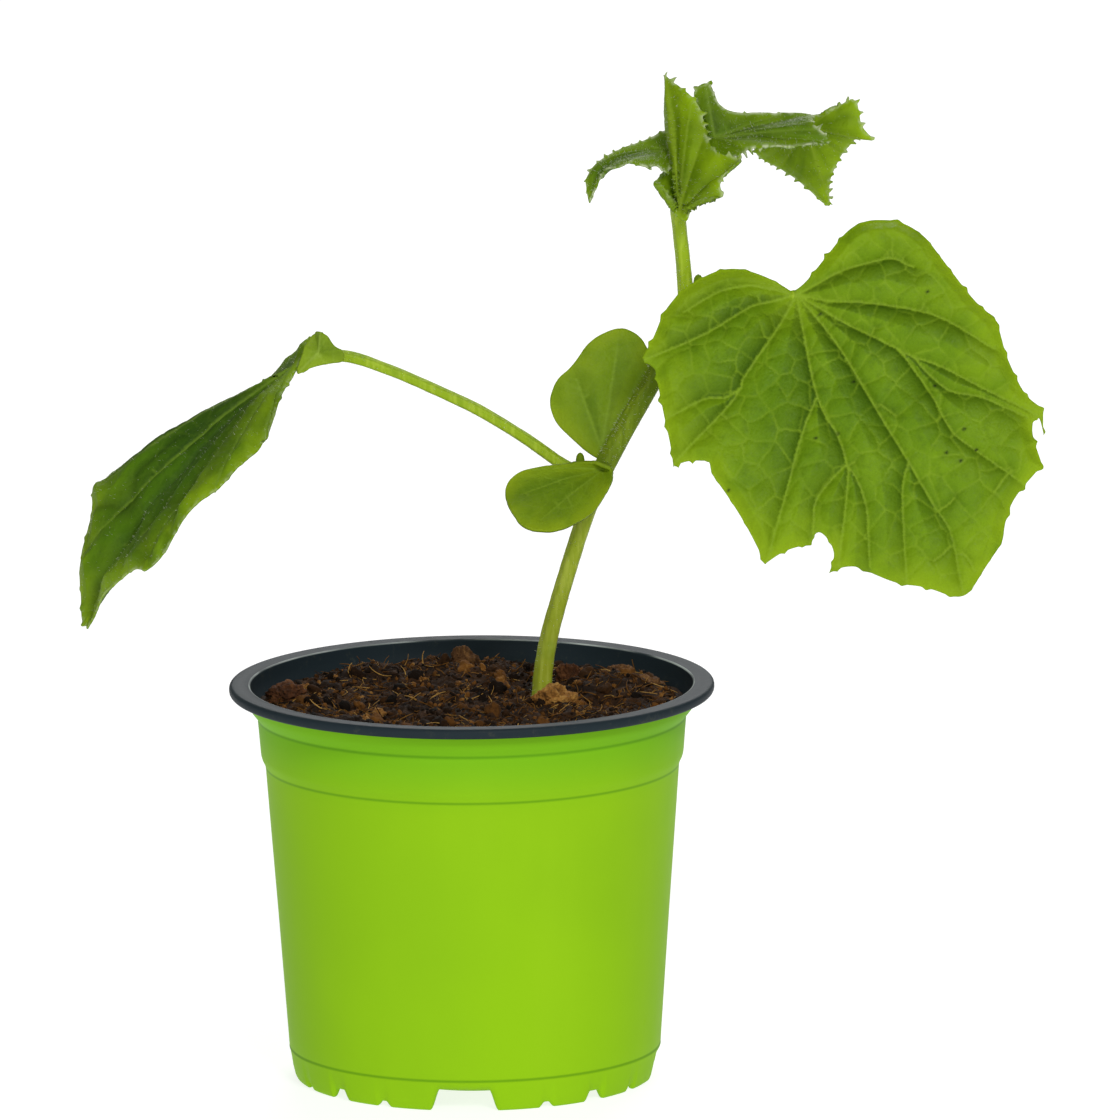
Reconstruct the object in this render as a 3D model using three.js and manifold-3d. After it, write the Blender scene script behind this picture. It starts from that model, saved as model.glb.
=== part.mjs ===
// A young cucumber plant in a 12 cm nursery pot. Millimetres, +Z up.
// The origin is the centre of the pot's base, and -Y is the front.
import * as THREE from 'three';
import { mergeVertices } from 'three/addons/utils/BufferGeometryUtils.js';
import Module from 'manifold-3d';

const wasm = await Module();
wasm.setup();

// ---- Driving dimensions ----
const GAP = 0.3;               // clearance between pieces that touch
const SIDES = 64;              // facets round the pot
const POT_HEIGHT = 98.9;
const LIP_RADIUS = 60;
const LIP_THICKNESS = 2.7;
const NECK_RADIUS = 55.4;      // outside of the wall under the lip
const COLLAR_HEIGHT = 90.8;    // top of the collar, where the wall flares to the lip
const COLLAR_RADIUS = 53.1;
const STEP_HEIGHT = 78.6;      // where the straight wall meets the collar
const STEP_RADIUS = 51.3;
const FOOT_RADIUS = 44;
const RING_HEIGHT = 7.7;       // line above the foot skirt
const RING_RADIUS = 46;
const WALL = 1.0;
const PAD_RADIUS = 21;         // flat centre of the floor, which stands on the table
const FLOOR_LIFT = 6;          // the floor round the pad is raised for drainage
const SLOTS = 8;
const SLOT_WIDTH = 3;
const NOTCH_TURN = -93.4;      // direction of the front notch, in degrees from +X
const SOIL_LEVEL = 92.8;
const BLADE_THICKNESS = 0.8;

const MATERIALS = {
  pot: new THREE.MeshStandardMaterial({ color: 0x86c022, roughness: 0.45 }),
  soil: new THREE.MeshStandardMaterial({ color: 0x3a2314, roughness: 1 }),
  coir: new THREE.MeshStandardMaterial({ color: 0x8a5a34, roughness: 1 }),
  bark: new THREE.MeshStandardMaterial({ color: 0x6b4430, roughness: 0.9 }),
  root: new THREE.MeshStandardMaterial({ color: 0xd8cfae, roughness: 0.8 }),
  stem: new THREE.MeshStandardMaterial({ color: 0x8fb52e, roughness: 0.6 }),
  leaf: new THREE.MeshStandardMaterial({ color: 0x5f9a14, roughness: 0.6, side: THREE.DoubleSide }),
  young: new THREE.MeshStandardMaterial({ color: 0x86b81c, roughness: 0.6, side: THREE.DoubleSide }),
};

// ---- Small helpers ----
const point = ([x, y, z]) => new THREE.Vector3(x, y, z);
const radians = THREE.MathUtils.degToRad;

function toSolid(geometry) {
  const bare = geometry.index ? geometry.clone() : geometry;
  bare.deleteAttribute('normal');
  bare.deleteAttribute('uv');
  const merged = mergeVertices(bare, 1e-4);
  return new wasm.Manifold(new wasm.Mesh({
    numProp: 3,
    vertProperties: new Float32Array(merged.attributes.position.array),
    triVerts: new Uint32Array(merged.index.array),
  }));
}

function toGeometry(solid) {
  const { vertProperties, triVerts, numProp } = solid.getMesh();
  const positions = new Float32Array((vertProperties.length / numProp) * 3);
  for (let i = 0; i * numProp < vertProperties.length; i++) {
    for (let axis = 0; axis < 3; axis++) positions[3 * i + axis] = vertProperties[numProp * i + axis];
  }
  const geometry = new THREE.BufferGeometry();
  geometry.setAttribute('position', new THREE.BufferAttribute(positions, 3));
  geometry.setIndex([...triVerts]);
  geometry.computeVertexNormals();
  return geometry;
}

const plant = new THREE.Group();

function add(name, solid, material) {
  const mesh = new THREE.Mesh(toGeometry(solid), material);
  mesh.name = name;
  plant.add(mesh);
}

// ---- Pot: a turned wall with notches in its foot and slots in its floor ----
function lathe(profile) {
  const points = profile.map(([r, z]) => new THREE.Vector2(r, z));
  const geometry = new THREE.LatheGeometry(points, SIDES);
  geometry.rotateX(Math.PI / 2);
  return toSolid(geometry);
}

const lipUnderside = POT_HEIGHT - LIP_THICKNESS;
const outerWall = [
  [FOOT_RADIUS, 0], [FOOT_RADIUS + 0.9, 1.2], [RING_RADIUS, RING_HEIGHT],
  [STEP_RADIUS, STEP_HEIGHT], [STEP_RADIUS + 1, STEP_HEIGHT + 2.4], [COLLAR_RADIUS, COLLAR_HEIGHT],
  [NECK_RADIUS, COLLAR_HEIGHT + 3.2], [NECK_RADIUS + 0.2, lipUnderside],
];
const lip = [
  [LIP_RADIUS - 0.8, lipUnderside], [LIP_RADIUS, lipUnderside + 0.7],
  [LIP_RADIUS, POT_HEIGHT - 0.9], [LIP_RADIUS - 0.9, POT_HEIGHT], [NECK_RADIUS + 0.4, POT_HEIGHT],
];
const innerWall = [
  [NECK_RADIUS - 0.7, POT_HEIGHT - 0.6], [NECK_RADIUS - WALL, COLLAR_HEIGHT + 3.6],
  [COLLAR_RADIUS - WALL, COLLAR_HEIGHT + 0.4], [STEP_RADIUS, STEP_HEIGHT + 2.8],
  [STEP_RADIUS - WALL, STEP_HEIGHT + 0.3],
  [RING_RADIUS - WALL, RING_HEIGHT + 2.5], [RING_RADIUS - 3, FLOOR_LIFT + WALL],
];
const floorTop = [
  [PAD_RADIUS + 5, FLOOR_LIFT + WALL], [PAD_RADIUS + 0.5, WALL], [0, WALL],
];
const underside = [
  [0, 0], [PAD_RADIUS, 0], [PAD_RADIUS + 4.5, FLOOR_LIFT],
  [FOOT_RADIUS - 0.9, FLOOR_LIFT], [FOOT_RADIUS - 1.4, 0],
];

// A wedge that cuts the foot skirt: narrow at its ceiling, wide at the table.
function notch(turn, widthBelow, widthAbove, height) {
  const shape = new THREE.Shape([
    new THREE.Vector2(-widthBelow / 2, -1), new THREE.Vector2(widthBelow / 2, -1),
    new THREE.Vector2(widthAbove / 2, height), new THREE.Vector2(-widthAbove / 2, height),
  ]);
  const geometry = new THREE.ExtrudeGeometry(shape, { depth: 6, bevelEnabled: false });
  geometry.rotateX(Math.PI / 2);
  geometry.translate(0, -FOOT_RADIUS + 3.2, 0);
  geometry.rotateZ(radians(turn + 90));
  return toSolid(geometry);
}

function pot() {
  let solid = lathe([...underside, ...outerWall, ...lip, ...innerWall, ...floorTop]);
  for (let quarter = 0; quarter < 4; quarter++) {
    const turn = NOTCH_TURN + 90 * quarter;
    solid = solid.subtract(notch(turn, 17, 12, 5.4));
    solid = solid.subtract(notch(turn + 27, 4, 1.2, 1.3));
    solid = solid.subtract(notch(turn + 45, 6, 2.4, 2.3));
    solid = solid.subtract(notch(turn + 63, 4, 1.2, 1.3));
  }
  for (let i = 0; i < SLOTS; i++) {
    const slot = new THREE.BoxGeometry(9, SLOT_WIDTH, 6);
    slot.translate((PAD_RADIUS + FOOT_RADIUS) / 2 + 2, 0, FLOOR_LIFT);
    slot.rotateZ(radians((360 / SLOTS) * (i + 0.5)));
    solid = solid.subtract(toSolid(slot));
  }
  return solid;
}

// ---- Stems: round rods along smooth curves ----
function rod(route, radius, sides = 10, stepLength = 5) {
  const path = new THREE.CatmullRomCurve3(route.map(point), false, 'centripetal');
  const section = new THREE.Shape();
  for (let i = 0; i < sides; i++) {
    const angle = (2 * Math.PI * i) / sides;
    const at = [radius * Math.cos(angle), radius * Math.sin(angle)];
    if (i === 0) section.moveTo(...at);
    else section.lineTo(...at);
  }
  const steps = Math.max(2, Math.round(path.getLength() / stepLength));
  return toSolid(new THREE.ExtrudeGeometry(section, { extrudePath: path, steps, bevelEnabled: false }));
}

// Each stem: the points that it runs through, and its radius.
const STEMS = {
  stem_lower: {
    route: [[17, 8, 88], [18, 8, 101], [20.5, 7.5, 113], [26.5, 6.5, 133], [32.2, 6, 149.6]],
    radius: 2.3,
  },
  stem_middle: {
    route: [[32.6, 6, 150.4], [38.5, 7, 161], [45, 8, 172], [51, 9, 183], [53.8, 9, 192.6]],
    radius: 2.4,
  },
  stem_upper: {
    route: [[53.9, 9, 193.2], [53.2, 8.6, 202], [52.4, 7.6, 210], [52, 5, 218], [54, 1, 225]],
    radius: 1.8,
  },
};
const PETIOLES = {
  petiole_left: {
    route: [[31.5, 6, 147], [22.5, 6, 152.5], [13.5, 6, 159], [2.5, 5.5, 166], [-8.5, 5, 171.5],
      [-19.5, 4.5, 176.5], [-31.5, 4, 180.3], [-39.8, 2.4, 179.2]],
    radius: 1.4, from: ['stem_lower', 'stem_middle'],
  },
  petiole_right: {
    route: [[54.5, 9, 193], [61, 12, 191], [71, 10, 191.5], [77.5, 5, 193.5], [80, 2.8, 194.6]],
    radius: 1.5, from: ['stem_middle', 'stem_upper'],
  },
};

// ---- Blades: spokes run from the end of the leaf's stalk to points on its margin ----
// A spoke may name a point that it rises over; otherwise it arches by a share of its length.
function blade({ hub, rim, arch, rings = 5 }) {
  const centre = point(hub);
  const ends = rim.map(([x, y, z]) => new THREE.Vector3(x, y, z));
  const facing = new THREE.Vector3();
  ends.forEach((end, i) => {
    const next = ends[(i + 1) % ends.length];
    facing.add(end.clone().sub(centre).cross(next.clone().sub(centre)));
  });
  facing.normalize();
  const spokes = ends.map((end, i) => {
    const over = rim[i][3];
    const reach = end.distanceTo(centre);
    const rise = centre.clone().add(end).multiplyScalar(0.5).addScaledVector(facing, arch * reach);
    return new THREE.QuadraticBezierCurve3(centre, over ? point(over) : rise, end);
  });
  const middle = [centre];
  for (let ring = 1; ring <= rings; ring++) {
    for (const spoke of spokes) middle.push(spoke.getPoint(ring / rings));
  }
  const count = ends.length;
  const faces = [];
  for (let k = 0; k < count; k++) faces.push([0, 1 + k, 1 + ((k + 1) % count)]);
  for (let ring = 0; ring < rings - 1; ring++) {
    for (let k = 0; k < count; k++) {
      const a = 1 + ring * count + k;
      const b = 1 + ring * count + ((k + 1) % count);
      faces.push([a, a + count, b + count], [a, b + count, b]);
    }
  }
  const sheet = new THREE.BufferGeometry().setFromPoints(middle);
  sheet.setIndex(faces.flat());
  sheet.computeVertexNormals();
  const normals = sheet.attributes.normal;
  const skins = [];
  for (const side of [0.5, -0.5]) {
    middle.forEach((at, i) => {
      const normal = new THREE.Vector3().fromBufferAttribute(normals, i);
      skins.push(at.clone().addScaledVector(normal, side * BLADE_THICKNESS));
    });
  }
  const below = middle.length;
  const all = faces.map((face) => [...face]);
  for (const [a, b, c] of faces) all.push([a + below, c + below, b + below]);
  const outer = 1 + (rings - 1) * count;
  for (let k = 0; k < count; k++) {
    const a = outer + k;
    const b = outer + ((k + 1) % count);
    all.push([a, a + below, b + below], [a, b + below, b]);
  }
  const body = new THREE.BufferGeometry().setFromPoints(skins);
  body.setIndex(all.flat());
  return toSolid(body);
}

// A margin given across and up a blade that leans forwards about the end of its stalk.
function tilted([x, y, z], lean, margin) {
  return margin.map(([across, up]) => [x + across, y + up * Math.sin(lean), z + up * Math.cos(lean)]);
}

const LARGE_LEAF_HUB = [81, 2, 195];
const LARGE_LEAF_LEAN = radians(24.5);

const BLADES = {
  // First true leaf: it hangs to the left, humped along its midrib, one basal lobe curled up.
  leaf_left: {
    hub: [-43.6, 1, 178.5], arch: 0.07,
    rim: [
      [-38, 7, 186], [-42, 16, 180], [-49.5, 30, 166.5, [-51.5, 8.5, 175.5]],
      [-62, 36, 153.5, [-55, 7.5, 168.5]], [-74, 38, 146.5, [-63, 8.5, 162]],
      [-86, 34, 142, [-80, 14.5, 152]], [-92, 22, 142.5, [-78, 18, 154.5]], [-94, 13, 144.5],
      [-93.5, 12, 141.5], [-94.5, 10, 137], [-96.5, 8, 133], [-97.5, 6, 129], [-97, 2, 123],
      [-96.5, 0, 119], [-96.5, -3, 113.5], [-93.5, -6, 116.5], [-92.5, -10, 121.5], [-89.5, -14, 125],
      [-86.5, -18, 128], [-83, -22, 132.5], [-81.5, -24, 133], [-80, -26, 132], [-77.5, -28, 134.5],
      [-74, -29, 139], [-69.5, -29, 146.5], [-66.5, -29, 150.5], [-63, -29, 151.5], [-57, -26, 158],
      [-51, -22, 161.5], [-49.5, -18, 165], [-48, -14, 169], [-45, -8, 174], [-43.5, -4, 176.5],
    ],
  },
  // Second true leaf: the large one, its upper face turned to the front.
  leaf_right: {
    hub: LARGE_LEAF_HUB, arch: 0.07,
    rim: tilted(LARGE_LEAF_HUB, LARGE_LEAF_LEAN, [
      [-1.5, 2.4], [-3.4, 3.6], [-7, 5.2], [-13, 6.5], [-19, 6.3], [-25.5, 3], [-29, 0.5], [-33, -4.5],
      [-35.5, -11], [-38.4, -16], [-35.2, -19], [-33.5, -29.5], [-31.5, -38], [-31, -43.5],
      [-27, -42.3], [-22, -42.5], [-21.5, -45.5], [-17, -52], [-12.5, -59.5], [-8.5, -68], [-4, -65],
      [0, -63.6], [3, -63.5], [3.4, -61], [5, -60], [7.5, -62.5], [8.6, -70.5], [10, -69],
      [14, -68.7], [18, -70.6], [24, -73], [31, -73.8], [38, -76.3], [41.5, -75.4], [46, -68],
      [50, -62.5], [50.5, -58], [53, -51.5], [60, -43.5], [57.6, -36], [58, -30.6], [61, -29.8],
      [56, -26], [51.5, -16.5], [49.6, -9], [48.6, -6.5], [45, -4], [39, 4], [35, 9.5], [32, 13.7],
      [28, 17], [23.5, 18.6], [18, 18.6], [12.5, 16.4], [6, 8.8], [2.6, 4.6],
    ]),
  },
  // The lobe of the first true leaf that curls up where its stalk joins.
  leaf_left_lobe: {
    hub: [-36.6, -6, 183], arch: 0.05,
    rim: [
      [-31, 0, 182.5], [-33, -3, 184], [-34.5, -5, 187], [-36.5, -4, 188], [-38, 0, 187.3],
      [-40.3, -4.5, 184.3], [-42.2, -4, 177], [-39.5, -6, 179], [-35, -5, 180], [-30.5, -2, 179.8],
    ],
  },
  // Youngest leaf: it stands upright round the tip of the shoot, folded along its midrib.
  leaf_bud: {
    hub: [52, -4, 217], arch: 0.03,
    rim: [
      [54, 0, 214], [55, -6, 218], [57, -8, 221], [60, -10, 222], [63, -12, 222], [62, -11, 225.5],
      [64.5, -11, 229], [68, -9, 232], [66, -6, 233.5], [63, -3, 236], [59.5, -1, 237.5],
      [58.5, 0, 240.5], [57, 1, 243.5], [55.5, 2, 245], [52, 1, 248], [48.5, 0, 252, [51.5, -8, 236]],
      [49, 4, 245.5], [50, 6, 240.5], [50.5, 7, 235], [50.5, 6, 231], [49.5, 3, 227.5],
      [46.5, -2, 224.5], [48, -4, 224], [49, -5, 222.5], [50.5, -4, 220], [51, 0, 214.5],
    ],
  },
  // Third true leaf, folded like a roof: near half, far half, and one lobe drooping to the left.
  leaf_top: {
    hub: [62.8, -0.5, 235], arch: 0.03,
    rim: [
      [66, -2.5, 230.5], [68, -4.5, 231.5], [70, -7, 233], [74, -9, 234], [80.5, -8, 234],
      [89.5, -6, 234.5], [87.5, -5, 237.5], [85, -3, 239], [86, 2, 240], [79.5, 3, 240.5],
      [72.5, 3, 240.5], [65, 3, 240.5], [61.5, 4, 243], [60.5, 6, 247], [58.5, 6, 247.5],
      [57, 6, 246], [57.5, 5, 242.5], [59.5, 3, 239], [60.5, 1.5, 234.5],
    ],
  },
  leaf_top_far: {
    hub: [83.5, 7, 236], arch: 0.02,
    rim: [
      [71, 14, 228.5], [73, 16, 226.5], [77, 17, 224], [80.5, 18, 221.5], [84.5, 19, 218],
      [90, 20, 213.5], [89.5, 18, 218], [90, 16, 222.5], [92.5, 12, 228], [95, 9, 231.5],
      [96.5, 7, 233.5], [101, 4, 233], [97.5, 4, 236.5], [97, 5, 239.5], [96.5, 5, 242.5],
      [95, 6, 243.5], [88.5, 6, 239.5], [85.5, 6, 239], [77, 6, 239], [68.5, 6, 238.5],
    ],
  },
  leaf_top_left: {
    hub: [47.4, 2, 231.5], arch: 0.05,
    rim: [
      [48.6, 3, 234.5], [47.5, 4.5, 236], [45, 5, 234], [40.5, 5, 232.5], [35, 4, 230.5],
      [32, 3, 228.5], [30, 1, 226.5, [38, 2, 232.5]], [29, 0, 224, [34, 1, 232.5]],
      [30, -2, 219, [33, 0, 232.5]], [31.5, -3, 222.5, [34, -2, 231.5]],
      [32.5, -4, 225.5, [36, -3, 231]], [34, -5, 228], [37.5, -6, 228.5], [40, -6, 230], [42.5, -7, 229],
      [44.5, -7, 228.5], [46.5, -6, 229], [48.6, 0, 229.5],
    ],
  },
  seed_leaf_front: {
    hub: [33.2, 2.6, 151.6], arch: 0.05,
    rim: [
      [30, 0, 153.6], [25, -2, 154], [18.5, -5, 154], [12.5, -8, 153.5], [9, -11, 151], [9, -15, 147.5],
      [11, -19, 143.5], [14.5, -21, 141], [22, -19, 140.5], [29.5, -13, 143], [33.5, -7, 147],
      [35.5, -1, 151.5],
    ],
  },
  seed_leaf_back: {
    hub: [32.6, 10.4, 155], arch: -0.05,
    rim: [
      [33.6, 9.6, 153], [37, 11.6, 158], [41, 14, 163.5], [44.5, 17, 170], [45, 20, 177],
      [42.5, 22, 181.5], [37.5, 22, 184], [30, 20, 181], [25.5, 18, 174.5], [21.5, 17, 171.5],
      [19.5, 16, 166], [21.5, 14, 161], [26.5, 12, 156.5], [31.4, 9.6, 153],
    ],
  },
};

// ---- Lumps: clods of soil, bark and coir, and the buds on the stem ----
function lump({ at, size, seed = 1, rough = 0.16, detail = 2 }, extra = 0) {
  const geometry = new THREE.IcosahedronGeometry(1, detail);
  geometry.deleteAttribute('normal');
  geometry.deleteAttribute('uv');
  const positions = geometry.attributes.position;
  for (let i = 0; i < positions.count; i++) {
    const v = new THREE.Vector3().fromBufferAttribute(positions, i).normalize();
    const wave = Math.sin(3.1 * v.x + seed) * Math.cos(4.3 * v.y - 2 * seed) + Math.sin(5.2 * v.z + 3 * seed);
    const swell = 1 + rough * 0.5 * wave;
    positions.setXYZ(i, v.x * (size[0] * swell + extra), v.y * (size[1] * swell + extra),
      v.z * (size[2] * swell + extra));
  }
  geometry.translate(...at);
  return toSolid(geometry);
}

const CLODS = {
  clod_left: { at: [-45.5, 3, 94.8], size: [6.5, 7, 4], seed: 1, material: 'bark' },
  clod_back_left: { at: [-24, 34, 94.3], size: [7.5, 6, 4.5], seed: 2, material: 'soil' },
  bark_chip_back: { at: [-2, 44, 95.3], size: [4.5, 3.5, 4], seed: 3, material: 'bark' },
  clod_middle: { at: [7, 32, 93.8], size: [7, 6, 4], seed: 4, material: 'soil' },
  clod_behind_stem: { at: [25, 21, 94.8], size: [5, 5, 4.8], seed: 5, material: 'bark' },
  clod_right_back: { at: [36, 29, 94.3], size: [7, 5.5, 4.4], seed: 6, material: 'coir' },
  clod_right: { at: [42, 14, 93.8], size: [6.5, 6.5, 4.2], seed: 7, material: 'bark' },
  clod_front: { at: [-31, -24, 93.3], size: [6, 5, 3], seed: 8, material: 'soil' },
};
const COIR_PLUG = { at: [20, 0.5, 94.5], size: [6.8, 5.6, 4.4], seed: 9 };
const BUDS = {
  bud_lower: { at: [27.3, 4.4, 153.6], size: [1.1, 1.1, 1.9], rough: 0.05, detail: 1 },
  bud_upper: { at: [56.8, 6.9, 197.6], size: [1.2, 1.1, 1.9], rough: 0.05, detail: 1 },
};

// ---- Roots: a taproot under the stem, with side roots ----
const TAPROOT = { route: [[17, 8, 87.6], [15, 7, 75], [12, 5, 58], [8, 3, 36], [5, 2, 20]], radius: 1.8 };
const SIDE_ROOTS = 6;
function roots(extra = 0) {
  const [top, ...rest] = TAPROOT.route;
  const route = [[top[0], top[1], top[2] + 3 * extra], ...rest];
  const path = new THREE.CatmullRomCurve3(TAPROOT.route.map(point), false, 'centripetal');
  let solid = rod(route, TAPROOT.radius + extra, 8, 9);
  for (let i = 0; i < SIDE_ROOTS; i++) {
    const turn = i * 2.4;
    const start = path.getPointAt((i + 1) / (SIDE_ROOTS + 2)).toArray();
    const out = (reach, drop) => [
      start[0] + reach * Math.cos(turn), start[1] + reach * Math.sin(turn), start[2] - drop,
    ];
    solid = solid.add(rod([start, out(9, 3), out(18, 12)], 0.8 + extra, 6, 7));
  }
  return solid;
}

// ---- Soil: it fills the pot to a rough surface below the lip ----
function soil() {
  const level = (x, y) => SOIL_LEVEL - 0.5 + 0.7 * Math.sin(0.31 * x + 1) * Math.cos(0.27 * y)
    + 0.6 * Math.sin(0.52 * y - 0.18 * x);
  const topRings = 9;
  const profile = [[0, WALL + GAP], [PAD_RADIUS + 0.3, WALL + GAP],
    [PAD_RADIUS + 4.8, FLOOR_LIFT + WALL + GAP], [RING_RADIUS - 3.4, FLOOR_LIFT + WALL + GAP],
    [RING_RADIUS - WALL - GAP, RING_HEIGHT + 2.7], [STEP_RADIUS - WALL - GAP, STEP_HEIGHT + 0.3],
    [STEP_RADIUS - GAP, STEP_HEIGHT + 3], [COLLAR_RADIUS - WALL - GAP, COLLAR_HEIGHT]];
  const edge = COLLAR_RADIUS - WALL;
  for (let ring = 0; ring < topRings; ring++) profile.push([edge * (1 - ring / topRings), SOIL_LEVEL]);
  profile.push([0, SOIL_LEVEL]);
  const points = profile.map(([r, z]) => new THREE.Vector2(r, z));
  const geometry = new THREE.LatheGeometry(points, SIDES);
  geometry.rotateX(Math.PI / 2);
  const positions = geometry.attributes.position;
  for (let i = 0; i < positions.count; i++) {
    if (Math.abs(positions.getZ(i) - SOIL_LEVEL) > 0.01) continue;
    const x = positions.getX(i);
    const y = positions.getY(i);
    const inward = Math.min(1, (edge - Math.hypot(x, y)) / 6);
    positions.setZ(i, SOIL_LEVEL - 0.6 + inward * (level(x, y) - SOIL_LEVEL + 0.6));
  }
  return toSolid(geometry);
}

// ---- Assembly ----
const minus = (solid, cutters) => cutters.reduce((rest, cutter) => rest.subtract(cutter), solid);
const grown = (stem) => rod(stem.route, stem.radius + GAP);

add('pot', pot(), MATERIALS.pot);

const clodCutters = Object.values(CLODS).map((clod) => lump(clod, GAP));
const stemHole = grown(STEMS.stem_lower);
add('soil', minus(soil(), [...clodCutters, lump(COIR_PLUG, GAP), stemHole, roots(GAP)]), MATERIALS.soil);
add('roots', roots(), MATERIALS.root);
for (const [name, clod] of Object.entries(CLODS)) add(name, lump(clod), MATERIALS[clod.material]);
add('coir_plug', minus(lump(COIR_PLUG), [stemHole]), MATERIALS.coir);

for (const [name, stem] of Object.entries(STEMS)) add(name, rod(stem.route, stem.radius), MATERIALS.stem);
for (const [name, petiole] of Object.entries(PETIOLES)) {
  const parents = petiole.from.map((parent) => grown(STEMS[parent]));
  add(name, minus(rod(petiole.route, petiole.radius), parents), MATERIALS.stem);
}

const stalks = [...Object.values(STEMS), ...Object.values(PETIOLES)].map(grown);
for (const [name, shape] of Object.entries(BLADES)) {
  const young = name === 'leaf_bud' || name.startsWith('leaf_top');
  const material = young ? MATERIALS.young : MATERIALS.leaf;
  add(name, minus(blade(shape), stalks), material);
}
for (const [name, bud] of Object.entries(BUDS)) add(name, minus(lump(bud), stalks), MATERIALS.young);

export default plant;
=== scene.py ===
# %% [markdown]
# # A young cucumber plant in its nursery pot
#
# This file builds the looks of a potted cucumber plant, cell by cell. The shapes and places come
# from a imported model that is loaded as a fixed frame. Each step below says what the real thing
# is, how it could be made in Blender, and why one way was chosen. Lengths are in millimetres
# until a mesh is made, because a plant is easier to think about in millimetres.

# %% Load the frame
import heapq
import math
from itertools import product

import bmesh
import bpy
import numpy as np
from mathutils import Matrix, Vector
from mathutils.geometry import delaunay_2d_cdt


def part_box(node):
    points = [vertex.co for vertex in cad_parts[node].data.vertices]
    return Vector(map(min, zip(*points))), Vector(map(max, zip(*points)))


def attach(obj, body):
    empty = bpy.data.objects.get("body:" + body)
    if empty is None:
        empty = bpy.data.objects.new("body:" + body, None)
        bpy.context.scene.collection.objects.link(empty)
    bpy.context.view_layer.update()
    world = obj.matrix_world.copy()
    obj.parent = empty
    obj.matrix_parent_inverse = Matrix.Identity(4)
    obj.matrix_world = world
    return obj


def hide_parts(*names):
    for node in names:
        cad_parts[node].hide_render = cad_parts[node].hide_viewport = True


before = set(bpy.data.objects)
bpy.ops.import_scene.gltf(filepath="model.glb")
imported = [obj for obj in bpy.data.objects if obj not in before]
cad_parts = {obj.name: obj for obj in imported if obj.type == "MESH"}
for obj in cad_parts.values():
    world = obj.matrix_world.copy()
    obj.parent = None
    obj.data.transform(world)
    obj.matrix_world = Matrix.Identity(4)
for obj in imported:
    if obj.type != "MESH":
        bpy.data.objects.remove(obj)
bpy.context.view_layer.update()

MM = 0.001
print("frame nodes:", len(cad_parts))

# %% [markdown]
# ## The camera
#
# The plant is seen from the front, a little above the lip of the pot, through a long lens, so
# the pot's ellipses are shallow and its sides hardly converge. A camera far away with a narrow
# field of view gives the same flat perspective. It is built first, so that every later piece
# can be judged from the same place.

# %% Camera
LOOK_AT = Vector((22.1, 0, 129.34)) * MM
DISTANCE = 5.0
PITCH = math.radians(11)
ROLL = math.radians(0.5)
FOCAL_LENGTH = 650.9

camera_data = bpy.data.cameras.new("camera")
camera = bpy.data.objects.new("camera", camera_data)
bpy.context.scene.collection.objects.link(camera)
bpy.context.scene.camera = camera
camera_data.lens = FOCAL_LENGTH
camera_data.sensor_width = 36
camera_data.clip_end = 50
forward = Vector((0, math.cos(PITCH), -math.sin(PITCH)))
level_right = Vector((1, 0, 0))
level_up = level_right.cross(forward)
right = level_right * math.cos(ROLL) - level_up * math.sin(ROLL)
up = level_up * math.cos(ROLL) + level_right * math.sin(ROLL)
camera.matrix_world = Matrix.Translation(LOOK_AT - forward * DISTANCE) @ Matrix((
    (right.x, up.x, -forward.x, 0),
    (right.y, up.y, -forward.y, 0),
    (right.z, up.z, -forward.z, 0),
    (0, 0, 0, 1)))
print("camera at", [round(value, 3) for value in camera.matrix_world.translation])

# %% [markdown]
# ## Arithmetic for node trees
#
# Materials and Geometry Nodes are both node trees. Wiring them by hand hides the idea behind
# the wires, so a small class wraps a socket and lets ordinary Python arithmetic add the Math
# nodes. One method makes any other node: it takes the type, the settings and the sockets.

# %% A socket that can be added and multiplied
class Flow:
    """A value that flows out of a node."""

    def __init__(self, graph, node, socket):
        self.graph, self.node, self.socket = graph, node, socket

    def output(self, name):
        return Flow(self.graph, self.node, self.node.outputs[name])

    def math(self, operation, *others):
        return self.graph.node("ShaderNodeMath", {"operation": operation}, [self, *others])

    def __add__(self, other):
        return self.math("ADD", other)

    def __mul__(self, other):
        return self.math("MULTIPLY", other)

    def __sub__(self, other):
        return self.math("SUBTRACT", other)

    def __rsub__(self, other):
        return self.graph.node("ShaderNodeMath", {"operation": "SUBTRACT"}, [other, self])

    __radd__, __rmul__ = __add__, __mul__


class Graph:
    """A node tree that grows by one method."""

    def __init__(self, tree):
        self.tree = tree

    def node(self, kind, settings=None, sockets=(), output=0):
        made = self.tree.nodes.new(kind)
        for key, value in (settings or {}).items():
            if key == "stops":
                self.set_stops(made.color_ramp, value)
            else:
                setattr(made, key, value)
        pairs = sockets.items() if isinstance(sockets, dict) else enumerate(sockets)
        for key, value in pairs:
            if isinstance(value, Flow):
                self.tree.links.new(value.socket, made.inputs[key])
            elif value is not None:
                made.inputs[key].default_value = value
        return Flow(self, made, made.outputs[output]) if len(made.outputs) else made

    @staticmethod
    def set_stops(ramp, stops):
        while len(ramp.elements) < len(stops):
            ramp.elements.new(0.5)
        for element, (position, tone) in zip(ramp.elements, stops):
            element.position, element.color = position, tone


# %% Shader helpers
def colour(text):
    """A linear colour from a six-figure web colour."""
    values = [int(text[i:i + 2], 16) / 255 for i in (0, 2, 4)]
    return tuple(v / 12.92 if v <= 0.04045 else ((v + 0.055) / 1.055) ** 2.4 for v in values) + (1,)


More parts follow.
